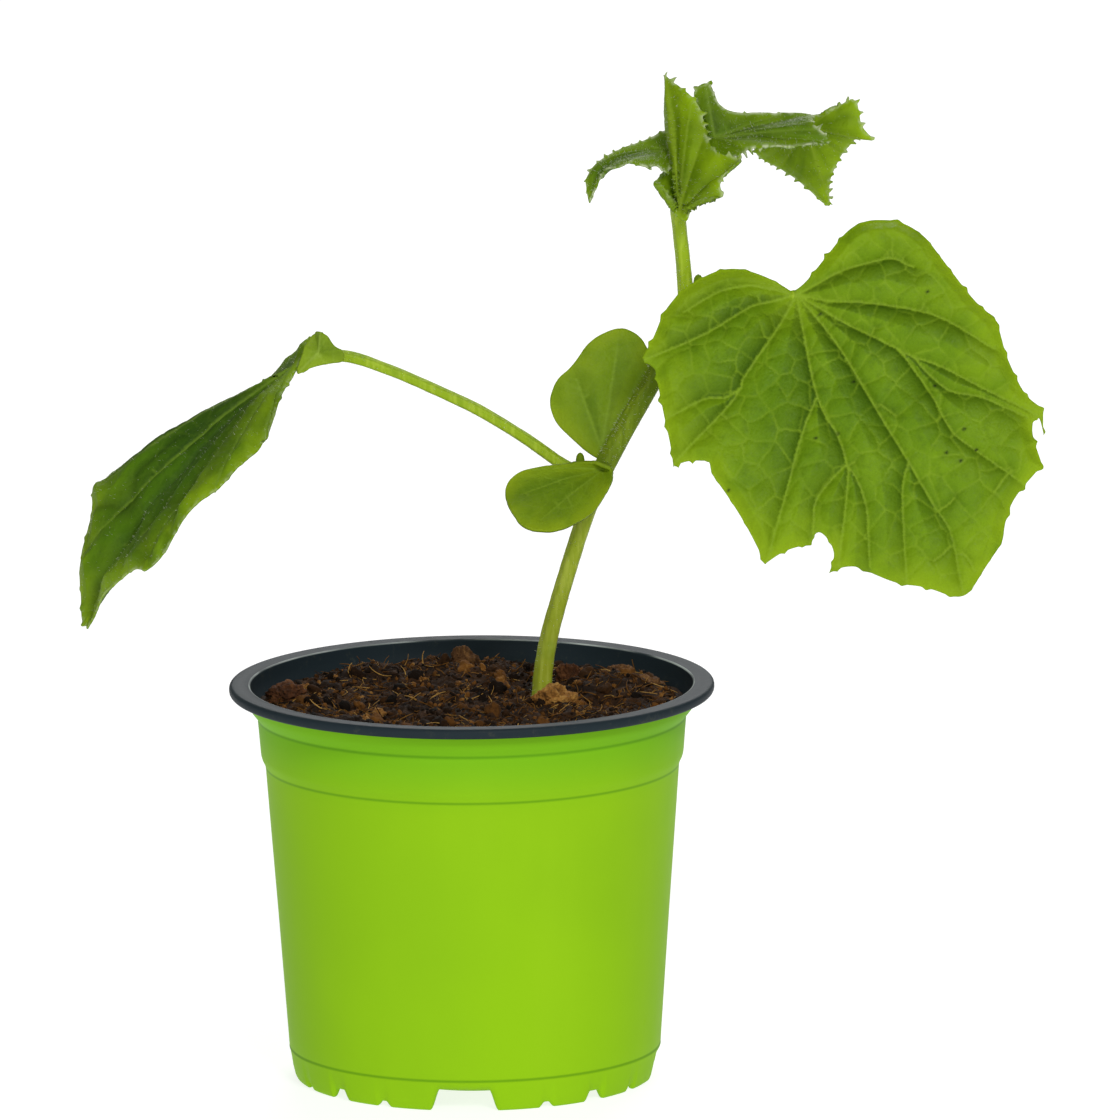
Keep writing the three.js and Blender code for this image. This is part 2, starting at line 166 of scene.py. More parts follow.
class Shader(Graph):
    """A material's tree, with the patterns that several finishes share."""

    def __init__(self, name):
        self.material = bpy.data.materials.new(name)
        self.material.use_nodes = True
        super().__init__(self.material.node_tree)
        self.tree.nodes.clear()
        self.place = self.node("ShaderNodeTexCoord").output("Object")

    def attribute(self, name):
        return self.node("ShaderNodeAttribute", {"attribute_name": name}).output("Fac")

    def flat_place(self):
        return self.node("ShaderNodeUVMap", {"uv_map": "flat"})

    def noise(self, scale, detail=2.0, place=None, roughness=0.5):
        return self.node("ShaderNodeTexNoise", None, {
            "Vector": place or self.place, "Scale": scale, "Detail": detail, "Roughness": roughness})

    def cell_borders(self, scale, place):
        """Zero on the borders between many-sided cells, and more away from them."""
        return self.node("ShaderNodeTexVoronoi", {"feature": "DISTANCE_TO_EDGE"}, {
            "Vector": place, "Scale": scale})

    def span(self, value, low, high, out_low=0.0, out_high=1.0):
        return self.node("ShaderNodeMapRange", {"interpolation_type": "SMOOTHSTEP"}, {
            "Value": value, "From Min": low, "From Max": high, "To Min": out_low, "To Max": out_high})

    def blend(self, factor, first, second):
        return self.node("ShaderNodeMix", {"data_type": "RGBA"}, {0: factor, 6: first, 7: second}, output=2)

    def split(self, place, axis):
        return self.node("ShaderNodeSeparateXYZ", None, [place], output=axis)

    def bump(self, height, distance, strength=1.0):
        return self.node("ShaderNodeBump", None, {
            "Height": height, "Distance": distance, "Strength": strength})

    def principled(self, **sockets):
        names = {key.replace("_", " "): value for key, value in sockets.items()}
        return self.node("ShaderNodeBsdfPrincipled", None, names)

    def finish(self, surface):
        self.node("ShaderNodeOutputMaterial", None, {"Surface": surface})
        print("material", self.material.name, "nodes:", len(self.tree.nodes))
        return self.material


# %% Meshes from arrays
def as_array(points):
    return np.asarray(points, dtype=float)


def new_mesh(name, points, faces):
    """A mesh from points in millimetres."""
    mesh = bpy.data.meshes.new(name)
    mesh.from_pydata((as_array(points) * MM).tolist(), [], [list(map(int, face)) for face in faces])
    return mesh


def new_piece(name, points, faces, materials):
    """A smooth mesh object at the origin, from points in millimetres."""
    mesh = new_mesh(name, points, faces)
    piece = bpy.data.objects.new(name, mesh)
    bpy.context.scene.collection.objects.link(piece)
    for material in materials:
        mesh.materials.append(material)
    mesh.shade_smooth()
    return piece


def even_grid(low, high, step):
    """Flat points about one step apart, every second row shifted by half a step."""
    rows, columns = np.arange(low[1], high[1], step * 0.87), np.arange(low[0], high[0], step)
    return as_array([(x + (step / 2 if r % 2 else 0), y) for r, y in enumerate(rows) for x in columns])


def even_ball(divisions, radius):
    """Points and triangles of a ball."""
    shape = bmesh.new()
    bmesh.ops.create_icosphere(shape, subdivisions=divisions, radius=radius)
    points = as_array([vertex.co[:] for vertex in shape.verts])
    faces = [[vertex.index for vertex in face.verts] for face in shape.faces]
    shape.free()
    return points, faces


def store(piece, name, values):
    """Saves one number for each vertex, for the material to read."""
    layer = piece.data.attributes.new(name, "FLOAT", "POINT")
    layer.data.foreach_set("value", np.asarray(values, dtype=np.float32))


def stand_for(piece, slot, *nodes):
    """The piece moves with the root body and stands for those nodes, which it hides. The slot is not used."""
    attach(piece, "root")
    if nodes:
        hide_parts(*nodes)
    print(f"{piece.name}: {len(piece.data.polygons)} faces")


# %% Smooth random heights
def noise(points, size, seed=0):
    """Smooth random heights from -1 to 1 that change over about `size` millimetres."""
    scaled = as_array(points) / size
    corner = np.floor(scaled).astype(np.int64)
    part = scaled - corner
    part = part * part * (3 - 2 * part)
    total = np.zeros(len(scaled))
    for offset in product((0, 1), repeat=scaled.shape[1]):
        cell = corner + offset
        mixed = np.full(len(scaled), seed * 7919 + 17, dtype=np.int64)
        for axis in range(scaled.shape[1]):
            mixed = (mixed ^ (cell[:, axis] * (73856093, 19349663, 83492791)[axis])) & 0xFFFFFFFF
            mixed = (mixed * 1274126177 + 1013904223) & 0xFFFFFFFF
            mixed ^= mixed >> 15
        height = (mixed & 0xFFFF) / 32767.5 - 1
        total += height * np.prod(np.where(offset, part, 1 - part), axis=1)
    return total


def layers(points, size, count, seed=0):
    """Several noises on top of each other, each half as large and half as high."""
    return sum(noise(points, size / 2 ** k, seed + k) / 2 ** k for k in range(count))


# %% Smooth curves
def curve_through(points, step):
    """Points about `step` apart on a smooth curve through the given ones."""
    knots = as_array(points)
    padded = np.vstack([2 * knots[0] - knots[1], knots, 2 * knots[-1] - knots[-2]])
    dense = []
    for a, b, c, d in zip(padded, padded[1:], padded[2:], padded[3:]):
        count = max(2, int(np.linalg.norm(c - b) / step * 4))
        for t in np.arange(count) / count:
            dense.append(0.5 * (2 * b + (c - a) * t + (2 * a - 5 * b + 4 * c - d) * t ** 2
                                + (3 * b - a - 3 * c + d) * t ** 3))
    dense = as_array(dense + [knots[-1]])
    travelled = np.concatenate([[0], np.cumsum(np.linalg.norm(np.diff(dense, axis=0), axis=1))])
    stops = np.linspace(0, travelled[-1], max(3, int(travelled[-1] / step)))
    return np.stack([np.interp(stops, travelled, dense[:, axis]) for axis in range(knots.shape[1])], axis=1)


# %% [markdown]
# ## The pot
#
# A nursery pot is one thin sheet of plastic, green outside and dark inside, drawn into a mould
# and rolled over at the lip. It is round, so its shape is a profile turned about the axis. The
# foot is cut by notches that let water out, and they repeat every quarter turn: the lower edge
# of the skirt is a height that depends on the angle, which keeps the wall in clean rings and
# gives the notches soft corners.

# %% Foot edge: how high the skirt's lower edge stands at each angle
TURNS = 720
FRONT_NOTCH = math.radians(-93.4)
NOTCHES = (  # direction from the front notch in degrees, width below, width above, height
    (0, 17, 12, 5.4), (27, 4.2, 1.0, 1.4), (45, 6.4, 2.6, 2.5), (63, 4.2, 1.0, 1.4))
FOOT_RADIUS = 44.0


def foot_edge(angles):
    height = np.zeros_like(angles)
    for quarter, (turn, below, above, tall) in product(range(4), NOTCHES):
        centre = FRONT_NOTCH + math.radians(turn + 90 * quarter)
        away = np.abs((angles - centre + math.pi) % (2 * math.pi) - math.pi) * FOOT_RADIUS
        rise = np.clip((below / 2 - away) / (below / 2 - above / 2), 0, 1)
        height = np.maximum(height, tall * rise * rise * (3 - 2 * rise))
    return height


# %% Pot profile: radius and height, in order from the foot up, over the lip and down inside
def arc(centre, radius, start, end, count=6):
    """Points round part of a circle, with angles in degrees."""
    turn = np.radians(np.linspace(start, end, count))
    return [(centre[0] + radius * math.cos(a), centre[1] + radius * math.sin(a)) for a in turn]


LIP_RADIUS, _, POT_HEIGHT = as_array(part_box("pot")[1]) / MM
LIP_INNER = 55.3
OUTSIDE = [(44.9, 1.4), (45.5, 4.0), (45.95, 7.2), (46.05, 7.55), (45.9, 7.9), (46.05, 8.3), (46.3, 12),
           (47.3, 26), (48.3, 40), (49.35, 54), (50.4, 68), (51.1, 77.6), (51.2, 78.5), (51.45, 79.3),
           (51.95, 80.3), (52.2, 81.1), (52.32, 82), (52.6, 85.5), (52.95, 89.6), (52.9, 90.4), (53.1, 90.9),
           (53.7, 91.6), (54.7, 92.9), (55.3, 94.2), (55.55, 95.4), (55.9, 96.15)]
LIP = ([(57.0, 96.2)] + arc((LIP_RADIUS - 1.15, POT_HEIGHT - 1.45), 1.15, -90, 0)
       + arc((LIP_RADIUS - 1.05, POT_HEIGHT - 1.05), 1.05, 8, 84) + [(57.4, POT_HEIGHT - 0.12)]
       + [(56.0, POT_HEIGHT - 0.22)] + arc((LIP_INNER, POT_HEIGHT - 0.75), 0.62, 75, 190, 7))
INSIDE = [(54.45, 96.0), (54.1, 94.3), (52.5, 91.8), (51.95, 90.8), (51.5, 85), (51.2, 81.6), (50.3, 78.9),
          (49.4, 68), (47.3, 40), (45.3, 12), (43.6, 8.2), (42.6, 7.1)]
FLOOR = [(34, 7.0), (26, 7.0), (21.6, 1.1), (12, 1.0), (0, 1.0)]
UNDER = [(0, 0), (12, 0), (21, 0), (25.5, 6), (34, 6), (42.6, 6), (43.0, 5.6)]
print("pot profile points:", len(OUTSIDE + LIP + INSIDE + FLOOR + UNDER))


# %% Turn the profile into the pot
def turned_rings(profile, angles):
    """Rings of points, one for each profile point; a ring on the axis is one point."""
    rings = []
    for radius, height in profile:
        if radius == 0:
            rings.append(as_array([[0, 0, height]]))
        else:
            rings.append(np.stack([radius * np.cos(angles), radius * np.sin(angles),
                                   np.full_like(angles, height)], axis=1))
    return rings


def stitch(rings):
    """Joins rings into faces, listed by band. A ring of one point closes with triangles."""
    starts = np.cumsum([0] + [len(ring) for ring in rings])
    faces, bands = [], []
    for band, (a, b) in enumerate(zip(rings, rings[1:])):
        count = max(len(a), len(b))
        for i in range(count):
            j = (i + 1) % count
            low, low_next = (starts[band] + (i, j)[k] % len(a) for k in (0, 1))
            top, top_next = (starts[band + 1] + (i, j)[k] % len(b) for k in (0, 1))
            corners = dict.fromkeys((low, low_next, top_next, top))
            if len(corners) > 2:
                faces.append(list(corners))
                bands.append(band)
    return faces, bands


def make_pot(green, slate):
    angles = np.arange(TURNS) * 2 * math.pi / TURNS
    edge = foot_edge(angles)
    skirt = [(43.2, 4.8), (42.95, 2.0), (42.9, 0.45), (43.15, 0.12), (43.6, 0), (44.0, 0.02),
             (44.35, 0.25), (44.6, 0.7)]
    profile = UNDER + skirt + OUTSIDE + LIP + INSIDE + FLOOR
    rings = turned_rings(profile, angles)
    first = len(UNDER)
    for ring in rings[first:first + len(skirt) + 3]:
        ring[:, 2] = edge + ring[:, 2] * (7.2 - edge) / 7.2
    faces, bands = stitch(rings)
    piece = new_piece("nursery_pot", np.vstack(rings), faces, [green, slate])
    dark_from = first + len(skirt) + len(OUTSIDE) - 1
    piece.data.polygons.foreach_set("material_index", [int(band >= dark_from) for band in bands])
    return piece


# %% [markdown]
# ### Pot finishes
#
# Thin moulded plastic is nearly even in colour, so what makes it look real is what breaks it. All
# three marks are painted light and shade: a deeper green painted where the light fades under the
# lip, a painted shade line along each crease of the mould, and a painted highlight along the
# inner edge of the lip. Each is a band of height or radius, so the materials measure the place
# on the object and need no painted map.

# %% Pot finishes
CREASES = ((90.5, 0.7), (78.6, 0.6), (7.8, 0.6))  # height and width of each crease in the mould


def make_green_plastic():
    s = Shader("green_plastic")
    drift = s.noise(14, 3)
    streaks = s.noise(60, 2, s.node("ShaderNodeMapping", None, {
        "Vector": s.place, "Scale": (1, 1, 0.08)}))
    height = s.split(s.place, 2)
    shade = s.blend(s.span(drift, 0.35, 0.7), colour("85B714"), colour("8BBE12"))
    shade = s.blend(s.span(streaks, 0.45, 0.8, 0, 0.25), shade, colour("92C21A"))
    # Painted shade: a deeper green from about 74 mm up to the lip, where less light reaches under the lip.
    shade = s.blend(s.span(height, 0.074, 0.092, 0, 0.75), shade, colour("6CAE1A"))
    # Painted shade: a darker green line along each crease of the mould.
    for crease, width in CREASES:
        line = s.span((height - crease * MM).math("ABSOLUTE"), 0, width * MM, 0.55, 0)
        shade = s.blend(line, shade, colour("3F7A10"))
    scuffs = s.span(s.noise(420, 4, roughness=0.7), 0.62, 0.75)
    normal = s.bump(s.noise(900, 2) + streaks * 0.6, 0.00004, 0.5)
    surface = s.principled(Base_Color=shade, Roughness=s.span(scuffs, 0, 1, 0.5, 0.62), Normal=normal,
                           IOR=1.49, Specular_IOR_Level=0.04)
    return s.finish(surface)


def make_slate_plastic():
    s = Shader("slate_plastic")
    dust = s.span(s.noise(300, 5, roughness=0.7), 0.55, 0.78)
    shade = s.blend(dust, colour("222C31"), colour("3A3F3A"))
    x, y, height = (s.split(s.place, axis) for axis in range(3))
    radius = (x * x + y * y).math("SQRT")
    inner, top = LIP_INNER * MM, POT_HEIGHT * MM
    # Painted highlight: a thin light line along the rounded inner edge of the lip.
    painted_lip_highlight = s.span(radius, inner - 0.0002, inner - 0.00005, 1, 0) * s.span(height, top - 0.0005, top - 0.00035)
    shade = s.blend(painted_lip_highlight * s.span(s.noise(40, 2), 0.3, 0.7), shade, colour("B9C2BE"))
    normal = s.bump(s.noise(700, 3), 0.00005, 0.5)
    surface = s.principled(Base_Color=shade, Roughness=s.span(dust, 0, 1, 0.5, 0.7), Normal=normal, IOR=1.5,
                           Specular_IOR_Level=0.06)
    return s.finish(surface)


pot = make_pot(make_green_plastic(), make_slate_plastic())
stand_for(pot, "pot", "pot")

# %% [markdown]
# ## Leaf blades
#
# A cucumber leaf is a thin sheet, wide and five-cornered, with veins that spread like fingers
# from the end of the stalk. The blade dips along each vein and puffs up between them. A blade
# could be a painted plane, but its edge and its relief would then be flat. Instead the leaf is
# laid out flat, filled with small triangles that follow its veins, and then lifted into its
# bent shape in the air: the flat layout is where veins and teeth are easy to draw.
#
# Spokes run from the stalk to points on the margin. Each spoke is a short curve in space, and
# the angle and length of the spokes give the flat layout, as if the leaf were pressed.

# %% Spokes of a blade
def bezier(start, middle, end, t):
    t = np.asarray(t)[:, None]
    return start * (1 - t) ** 2 + middle * 2 * t * (1 - t) + end * t ** 2


class Spokes:
    """The bent shape of a blade, and its flat layout."""

    def __init__(self, hub, rim, arch=0.07, level=True, soften=3.0):
        self.hub = as_array(hub)
        ends = as_array([point[:3] for point in rim])
        arms = ends - self.hub
        following = np.roll(arms, -1, axis=0)
        facing = np.cross(arms, following).sum(axis=0)
        self.facing = facing / np.linalg.norm(facing)
        reach = np.linalg.norm(arms, axis=1)
        middles = (self.hub + ends) / 2 + np.outer(arch * reach, self.facing)
        for k, point in enumerate(rim):
            if len(point) > 3:
                middles[k] = point[3]
        steps_out = np.linspace(0, 1, 12)
        lengths = [np.linalg.norm(np.diff(bezier(self.hub, m, e, steps_out), axis=0), axis=1).sum()
                   for m, e in zip(middles, ends)]
        cosines = (arms * following).sum(axis=1) / reach / np.roll(reach, -1)
        steps = np.arccos(np.clip(cosines, -1, 1))
        across = np.array([1.0, 0, 0]) - self.facing * self.facing[0]
        across /= np.linalg.norm(across)
        upward = np.cross(self.facing, across)
        start = math.atan2(arms[0] @ upward, arms[0] @ across)
        self.turns = start + np.concatenate([[0], np.cumsum(steps * 2 * math.pi / steps.sum())])
        self.corners = np.array(lengths)[:, None] * np.stack(
            [np.cos(self.turns[:-1]), np.sin(self.turns[:-1])], axis=1)
        self.dense(ends, middles, level, soften)

    def dense(self, ends, middles, level, soften):
        """Ends and middles at every half degree, softened so that the spokes leave no creases."""
        self.grid = self.turns[0] + np.radians(np.arange(0, 360, 0.5))
        sector, share = self.sector(self.grid)
        after = (sector + 1) % len(ends)
        share = share[:, None]
        self.ends = ends[sector] * (1 - share) + ends[after] * share
        self.middles = middles[sector] * (1 - share) + middles[after] * share
        ends_soft, middles_soft = self.soft(self.ends, soften), self.soft(self.middles, soften)
        if level:
            change = np.outer((ends_soft - self.ends) @ self.facing, self.facing)
            bow = self.middles - (self.hub + self.ends) / 2
            self.ends = self.ends + change
            self.middles = (self.hub + self.ends) / 2 + self.soft(bow, soften * 2)
        else:
            self.ends, self.middles = ends_soft, middles_soft

    @staticmethod
    def soft(values, degrees):
        if not degrees:
            return values
        width = int(degrees * 8)
        weights = np.exp(-0.5 * (np.arange(-width, width + 1) / (2 * degrees)) ** 2)
        weights /= weights.sum()
        wrapped = np.vstack([values[-width:], values, values[:width]])
        return np.stack([np.convolve(column, weights, "valid") for column in wrapped.T], axis=1)

    def sector(self, turns):
        """Which pair of spokes a direction lies between, and how far across, along their chord."""
        wrapped = (turns - self.turns[0]) % (2 * math.pi) + self.turns[0]
        sector = np.clip(np.searchsorted(self.turns, wrapped, "right") - 1, 0, len(self.corners) - 1)
        first, second = self.corners[sector], np.roll(self.corners, -1, axis=0)[sector]
        ray = np.stack([np.cos(wrapped), np.sin(wrapped)], axis=1)
        side_a = first[:, 0] * ray[:, 1] - first[:, 1] * ray[:, 0]
        side_b = second[:, 0] * ray[:, 1] - second[:, 1] * ray[:, 0]
        share = np.clip(side_a / np.where(np.abs(side_a - side_b) < 1e-9, 1e-9, side_a - side_b), 0, 1)
        self.chord = np.linalg.norm(first * (1 - share[:, None]) + second * share[:, None], axis=1)
        return sector, share

    def lift(self, flat):
        """Points in space for points of the flat layout."""
        turns = np.arctan2(flat[:, 1], flat[:, 0])
        self.sector(turns)
        t = np.linalg.norm(flat, axis=1) / np.maximum(self.chord, 1e-6)
        place = ((turns - self.turns[0]) % (2 * math.pi)) / math.radians(0.5)
        low = np.floor(place).astype(int) % len(self.grid)
        high = (low + 1) % len(self.grid)
        share = (place - np.floor(place))[:, None]
        ends = self.ends[low] * (1 - share) + self.ends[high] * share
        middles = self.middles[low] * (1 - share) + self.middles[high] * share
        return bezier(self.hub, middles, ends, t)


# %% Margin with teeth
def cut_corners(loop, sharp):
    """One round of corner cutting that leaves the sharp corners where they are."""
    cut, kept = [], []
    for k, here in enumerate(loop):
        after = loop[(k + 1) % len(loop)]
        cut.append(here if sharp[k] else here * 0.78 + after * 0.22)
        kept.append(sharp[k])
        if not sharp[(k + 1) % len(loop)]:
            cut.append(here * 0.22 + after * 0.78)
            kept.append(False)
    return as_array(cut), kept


def margin(corners, step, gap, depth, seed, sharp=(), plain=()):
    """The leaf's outline in the flat layout: rounded between sharp corners, with small teeth.

    There are no teeth near the stalk, nor near the plain corners, where the blade is folded over."""
    loop, kept = as_array(corners), [k in sharp for k in range(len(corners))]
    for _ in range(3):
        loop, kept = cut_corners(loop, kept)
    closed = np.vstack([loop, loop[:1]])
    travelled = np.concatenate([[0], np.cumsum(np.linalg.norm(np.diff(closed, axis=0), axis=1))])
    count = int(travelled[-1] / step)
    stops = np.arange(count) * travelled[-1] / count
    line = np.stack([np.interp(stops, travelled, closed[:, axis]) for axis in (0, 1)], axis=1)
    ahead = np.roll(line, -2, axis=0) - np.roll(line, 2, axis=0)
    outward = np.stack([ahead[:, 1], -ahead[:, 0]], axis=1)
    outward /= np.maximum(np.linalg.norm(outward, axis=1), 1e-9)[:, None]
    wander = noise(stops[:, None], gap * 2.5, seed) * 0.6
    phase = (stops / gap + wander) % 1
    size = 0.7 + 0.6 * noise(stops[:, None], gap * 1.5, seed + 1)
    away = np.minimum(phase, 1 - phase) * 2
    tooth = np.clip(1 - away / 0.42, 0, 1) ** 1.2 - 0.2
    toothed = np.clip(np.linalg.norm(line, axis=1) / 6 - 0.5, 0, 1)
    for k in plain:
        toothed = toothed * np.clip(np.linalg.norm(line - corners[k], axis=1) / 1.5 - 1.5, 0, 1)
    return line + outward * (tooth * size * depth * toothed)[:, None]


def inside(points, loop):
    """Which points lie inside a closed loop."""
    hit = np.zeros(len(points), dtype=bool)
    for (x1, y1), (x2, y2) in zip(loop, np.roll(loop, -1, axis=0)):
        crosses = (y1 > points[:, 1]) != (y2 > points[:, 1])
        if y1 != y2:
            hit ^= crosses & (points[:, 0] < (x2 - x1) * (points[:, 1] - y1) / (y2 - y1) + x1)
    return hit


def distance_to_lines(points, segments, sides=False):
    """Shortest distance from each point to a list of straight pieces, and on which side it lies."""
    best = np.full(len(points), 1e9)
    side = np.zeros(len(points))
    for a, b in segments:
        along = b - a
        away = points - a
        t = np.clip(away @ along / max(along @ along, 1e-9), 0, 1)
        distance = np.linalg.norm(away - t[:, None] * along, axis=1)
        closer = distance < best
        best[closer] = distance[closer]
        if sides:
            side[closer] = np.sign(along[0] * away[closer, 1] - along[1] * away[closer, 0])
    return (best, side) if sides else best


# %% [markdown]
# ### Veins
#
# Main veins are drawn one by one, since they set the leaf's character. Side veins leave them at a
# steady angle. Between them the finest veins close into a net of many-sided cells, as dried mud
# cracks do, so the net is the set of borders between scattered points.

# %% Vein net in the flat layout
def as_segments(line):
    return list(zip(line[:-1], line[1:]))


def vein_net(outline, cell, seed):
    """Borders between scattered points, as corners and pairs of corners.

    The points lie on rings round the stalk, further apart along a ring than between rings, so
    that the borders cross between the main veins like rungs."""
    random = np.random.default_rng(seed)
    reach = np.abs(outline).max() + cell
    seeds = []
    for ring, radius in enumerate(np.arange(0.5 * cell, 1.5 * reach, 0.72 * cell)):
        count = max(5, int(2 * math.pi * radius / (1.3 * cell)))
        turn = (np.arange(count) + 0.5 * ring) * 2 * math.pi / count
        seeds += list(zip(radius * np.cos(turn), radius * np.sin(turn)))
    seeds = as_array(seeds)
    seeds += random.uniform(-0.36, 0.36, seeds.shape) * cell
    seeds *= (0.62 + 0.38 * np.clip(np.linalg.norm(seeds, axis=1) / reach * 1.3, 0, 1))[:, None]
    points, _, triangles, *_ = delaunay_2d_cdt([Vector(p) for p in seeds], [], [], 0, 1e-5, False)
    points = as_array([tuple(p) for p in points])
    corners, borders = [], {}
    for index, (a, b, c) in enumerate(triangles):
        ab, ac = points[b] - points[a], points[c] - points[a]
        area = 2 * (ab[0] * ac[1] - ab[1] * ac[0])
        corners.append(points[a] + np.array([ac[1] * (ab @ ab) - ab[1] * (ac @ ac),
                                             ab[0] * (ac @ ac) - ac[0] * (ab @ ab)]) / area)
        for pair in ((a, b), (b, c), (c, a)):
            borders.setdefault(frozenset(pair), []).append(index)
    corners = as_array(corners)
    within = inside(corners, outline)
    edges = [tuple(pair) for pair in borders.values() if len(pair) == 2 and within[list(pair)].all()
             and np.linalg.norm(corners[pair[0]] - corners[pair[1]]) < 2 * cell]
    return corners, edges


def sway(segments):
    """Bends straight pieces a little, each cut in three, so that the net is not drawn with a ruler."""
    bent = []
    for a, b in segments:
        line = a + (b - a) * as_array([[0], [1 / 3], [2 / 3], [1]])
        bent += as_segments(line + 0.5 * np.stack([noise(line, 3.3, 51), noise(line, 3.3, 52)], axis=1))
    return bent


def side_veins(corners, edges, main):
    """Shortest ways through the net to the main veins. Where many ways meet, a side vein forms."""
    ways = {}
    for a, b in edges:
        ways.setdefault(a, []).append(b)
        ways.setdefault(b, []).append(a)
    away = distance_to_lines(corners, main)
    out = np.linalg.norm(corners, axis=1)
    cost = {node: float(away[node]) for node in ways if away[node] < 2.0}
    queue = [(value, node) for node, value in cost.items()]
    heapq.heapify(queue)
    parent, order, done = {}, [], set()
    while queue:
        value, node = heapq.heappop(queue)
        if node in done:
            continue
        done.add(node)
        order.append(node)
        for other in ways[node]:
            length = np.linalg.norm(corners[other] - corners[node])
            inward = 1.7 if out[other] < out[node] else 1.0
            if value + length * inward < cost.get(other, 1e9):
                cost[other] = value + length * inward
                parent[other] = node
                heapq.heappush(queue, (cost[other], other))
    flow = dict.fromkeys(order, 1)
    for node in reversed(order):
        if node in parent:
            flow[parent[node]] += flow[node]
    strong = [(corners[node], corners[parent[node]]) for node in order if node in parent and flow[node] > 4]
    for node in order:
        if node not in parent:
            a, b = min(main, key=lambda pair: np.linalg.norm(corners[node] - (pair[0] + pair[1]) / 2))
            if flow[node] > 3:
                strong.append((corners[node], (a + b) / 2))
    return strong


# %% Build a blade
class Blade:
    """One leaf: flat layout, veins, relief, and the two skins of its sheet."""

    def __init__(self, name, shape, veins, step=0.45, gap=5.5, depth=0.6, cell=6.5, seed=1,
                 puff=0.5, pleat=1.3, thickness=0.5, sharp=(), specks=(), wave=0.9, plain=(),
                 ripple=(0, 0)):
        self.name, self.shape, self.step, self.thickness = name, shape, step, thickness
        self.outline = margin(shape.corners, step, gap, depth, seed, sharp, plain)
        self.main = [segment for line in veins for segment in as_segments(curve_through(line, 1.0))]
        corners, edges = vein_net(self.outline, cell, seed + 5)
        self.branches = side_veins(corners, edges, self.main)
        self.net = sway([(corners[a], corners[b]) for a, b in edges])
        self.branches = sway(self.branches) or self.net[:1]
        self.fill()
        self.measure()
        self.speck = np.exp(-(distance_to_lines(self.flat, [(as_array(p), as_array(p) + (0.35, 0.2))
                                                            for p in specks]) / 0.3) ** 2)
        self.raise_relief(puff, pleat, wave, *ripple)

    def fill(self):
        """Triangles inside the outline, even in size, with corners on the veins."""
        lines = []
        for a, b in self.net + self.branches + self.main:
            count = max(1, int(np.linalg.norm(b - a) / self.step))
            lines += [a + (b - a) * k / count for k in range(count + 1)]
        spots = {}
        for point in lines:
            spots.setdefault((round(point[0] / self.step * 2), round(point[1] / self.step * 2)), point)
        near = {(kx + dx, ky + dy) for kx, ky in spots for dx in (-1, 0, 1) for dy in (-1, 0, 1)}
        grid = even_grid(self.outline.min(axis=0), self.outline.max(axis=0), self.step)
        keys = np.round(grid / self.step * 2).astype(int)
        free = np.array([(kx, ky) not in near for kx, ky in keys])
        points = np.vstack([list(spots.values()), grid[free]])
        points = points[inside(points, self.outline)]
        closed = as_segments(np.vstack([self.outline, self.outline[:1]]))
        points = points[distance_to_lines(points, closed) > 0.45 * self.step]
        everything = np.vstack([self.outline, points])
        count = len(self.outline)
        border = [(k, (k + 1) % count) for k in range(count)]
        flat, _, faces, *_ = delaunay_2d_cdt([Vector(p) for p in everything], border, [], 1, 1e-5, False)
        self.flat = as_array([tuple(p) for p in flat])
        faces = np.array([face for face in faces if len(face) == 3])
        doubtful = (faces < count).all(axis=1)
        doubtful[doubtful] = ~inside(self.flat[faces[doubtful]].mean(axis=1), self.outline)
        self.faces = faces[~doubtful]
        self.to_edge = distance_to_lines(self.flat, closed)

    def measure(self):
        """Distances from every point to the veins."""
        self.to_main, self.side = distance_to_lines(self.flat, self.main, sides=True)
        self.to_branch = distance_to_lines(self.flat, self.branches)
        self.to_net = distance_to_lines(self.flat, self.net)
        self.out = np.linalg.norm(self.flat, axis=1)
        self.reach = self.out.max()

    def raise_relief(self, puff, pleat, wave, folds, fold_height):
        """Height of the upper skin: valleys along the veins, pillows between them, and on a young
        or hanging leaf a number of folds that run out from the stalk like those of a fan."""
        out = np.clip(self.out / 12, 0, 1)
        calm = np.clip(self.to_edge / 3, 0.15, 1)
        pleats = pleat * (1 - np.exp(-self.to_main / 4)) * out * (1.25 - 0.6 * self.out / self.reach)
        pillows = puff * (1 - np.exp(-np.minimum(self.to_main, self.to_branch) / 1.5))
        small = 0.5 * puff * (1 - np.exp(-np.minimum(self.to_net, self.to_branch) / 0.8))
        waves = wave * noise(self.flat, 11, 3) + 0.3 * wave * noise(self.flat, 4, 8)
        turn = np.arctan2(self.flat[:, 1], self.flat[:, 0]) / (2 * math.pi)
        phase = (turn * folds + 0.35 * noise(self.flat, 9, 6)) % 1
        far = np.clip(2 * self.out / self.reach - 0.3, 0, 1)
        self.fold = (1 - np.abs(2 * phase - 1)) * far if folds else 0 * turn
        self.height = (pleats + (pillows + small) * (0.3 + 0.7 * out)) * calm + waves * out
        self.height += fold_height * self.fold * calm
        self.ribs = (0.9 * np.exp(-(self.to_main / 0.8) ** 2) * (1 - 0.6 * self.out / self.reach)
                     + 0.2 * np.exp(-(self.to_branch / 0.45) ** 2) + 0.1 * np.exp(-(self.to_net / 0.35) ** 2))

    def normals(self, points):
        a, b, c = (points[self.faces[:, k]] for k in range(3))
        facing = np.cross(b - a, c - a)
        total = np.zeros_like(points)
        for k in range(3):
            np.add.at(total, self.faces[:, k], facing)
        return total / np.maximum(np.linalg.norm(total, axis=1), 1e-9)[:, None]

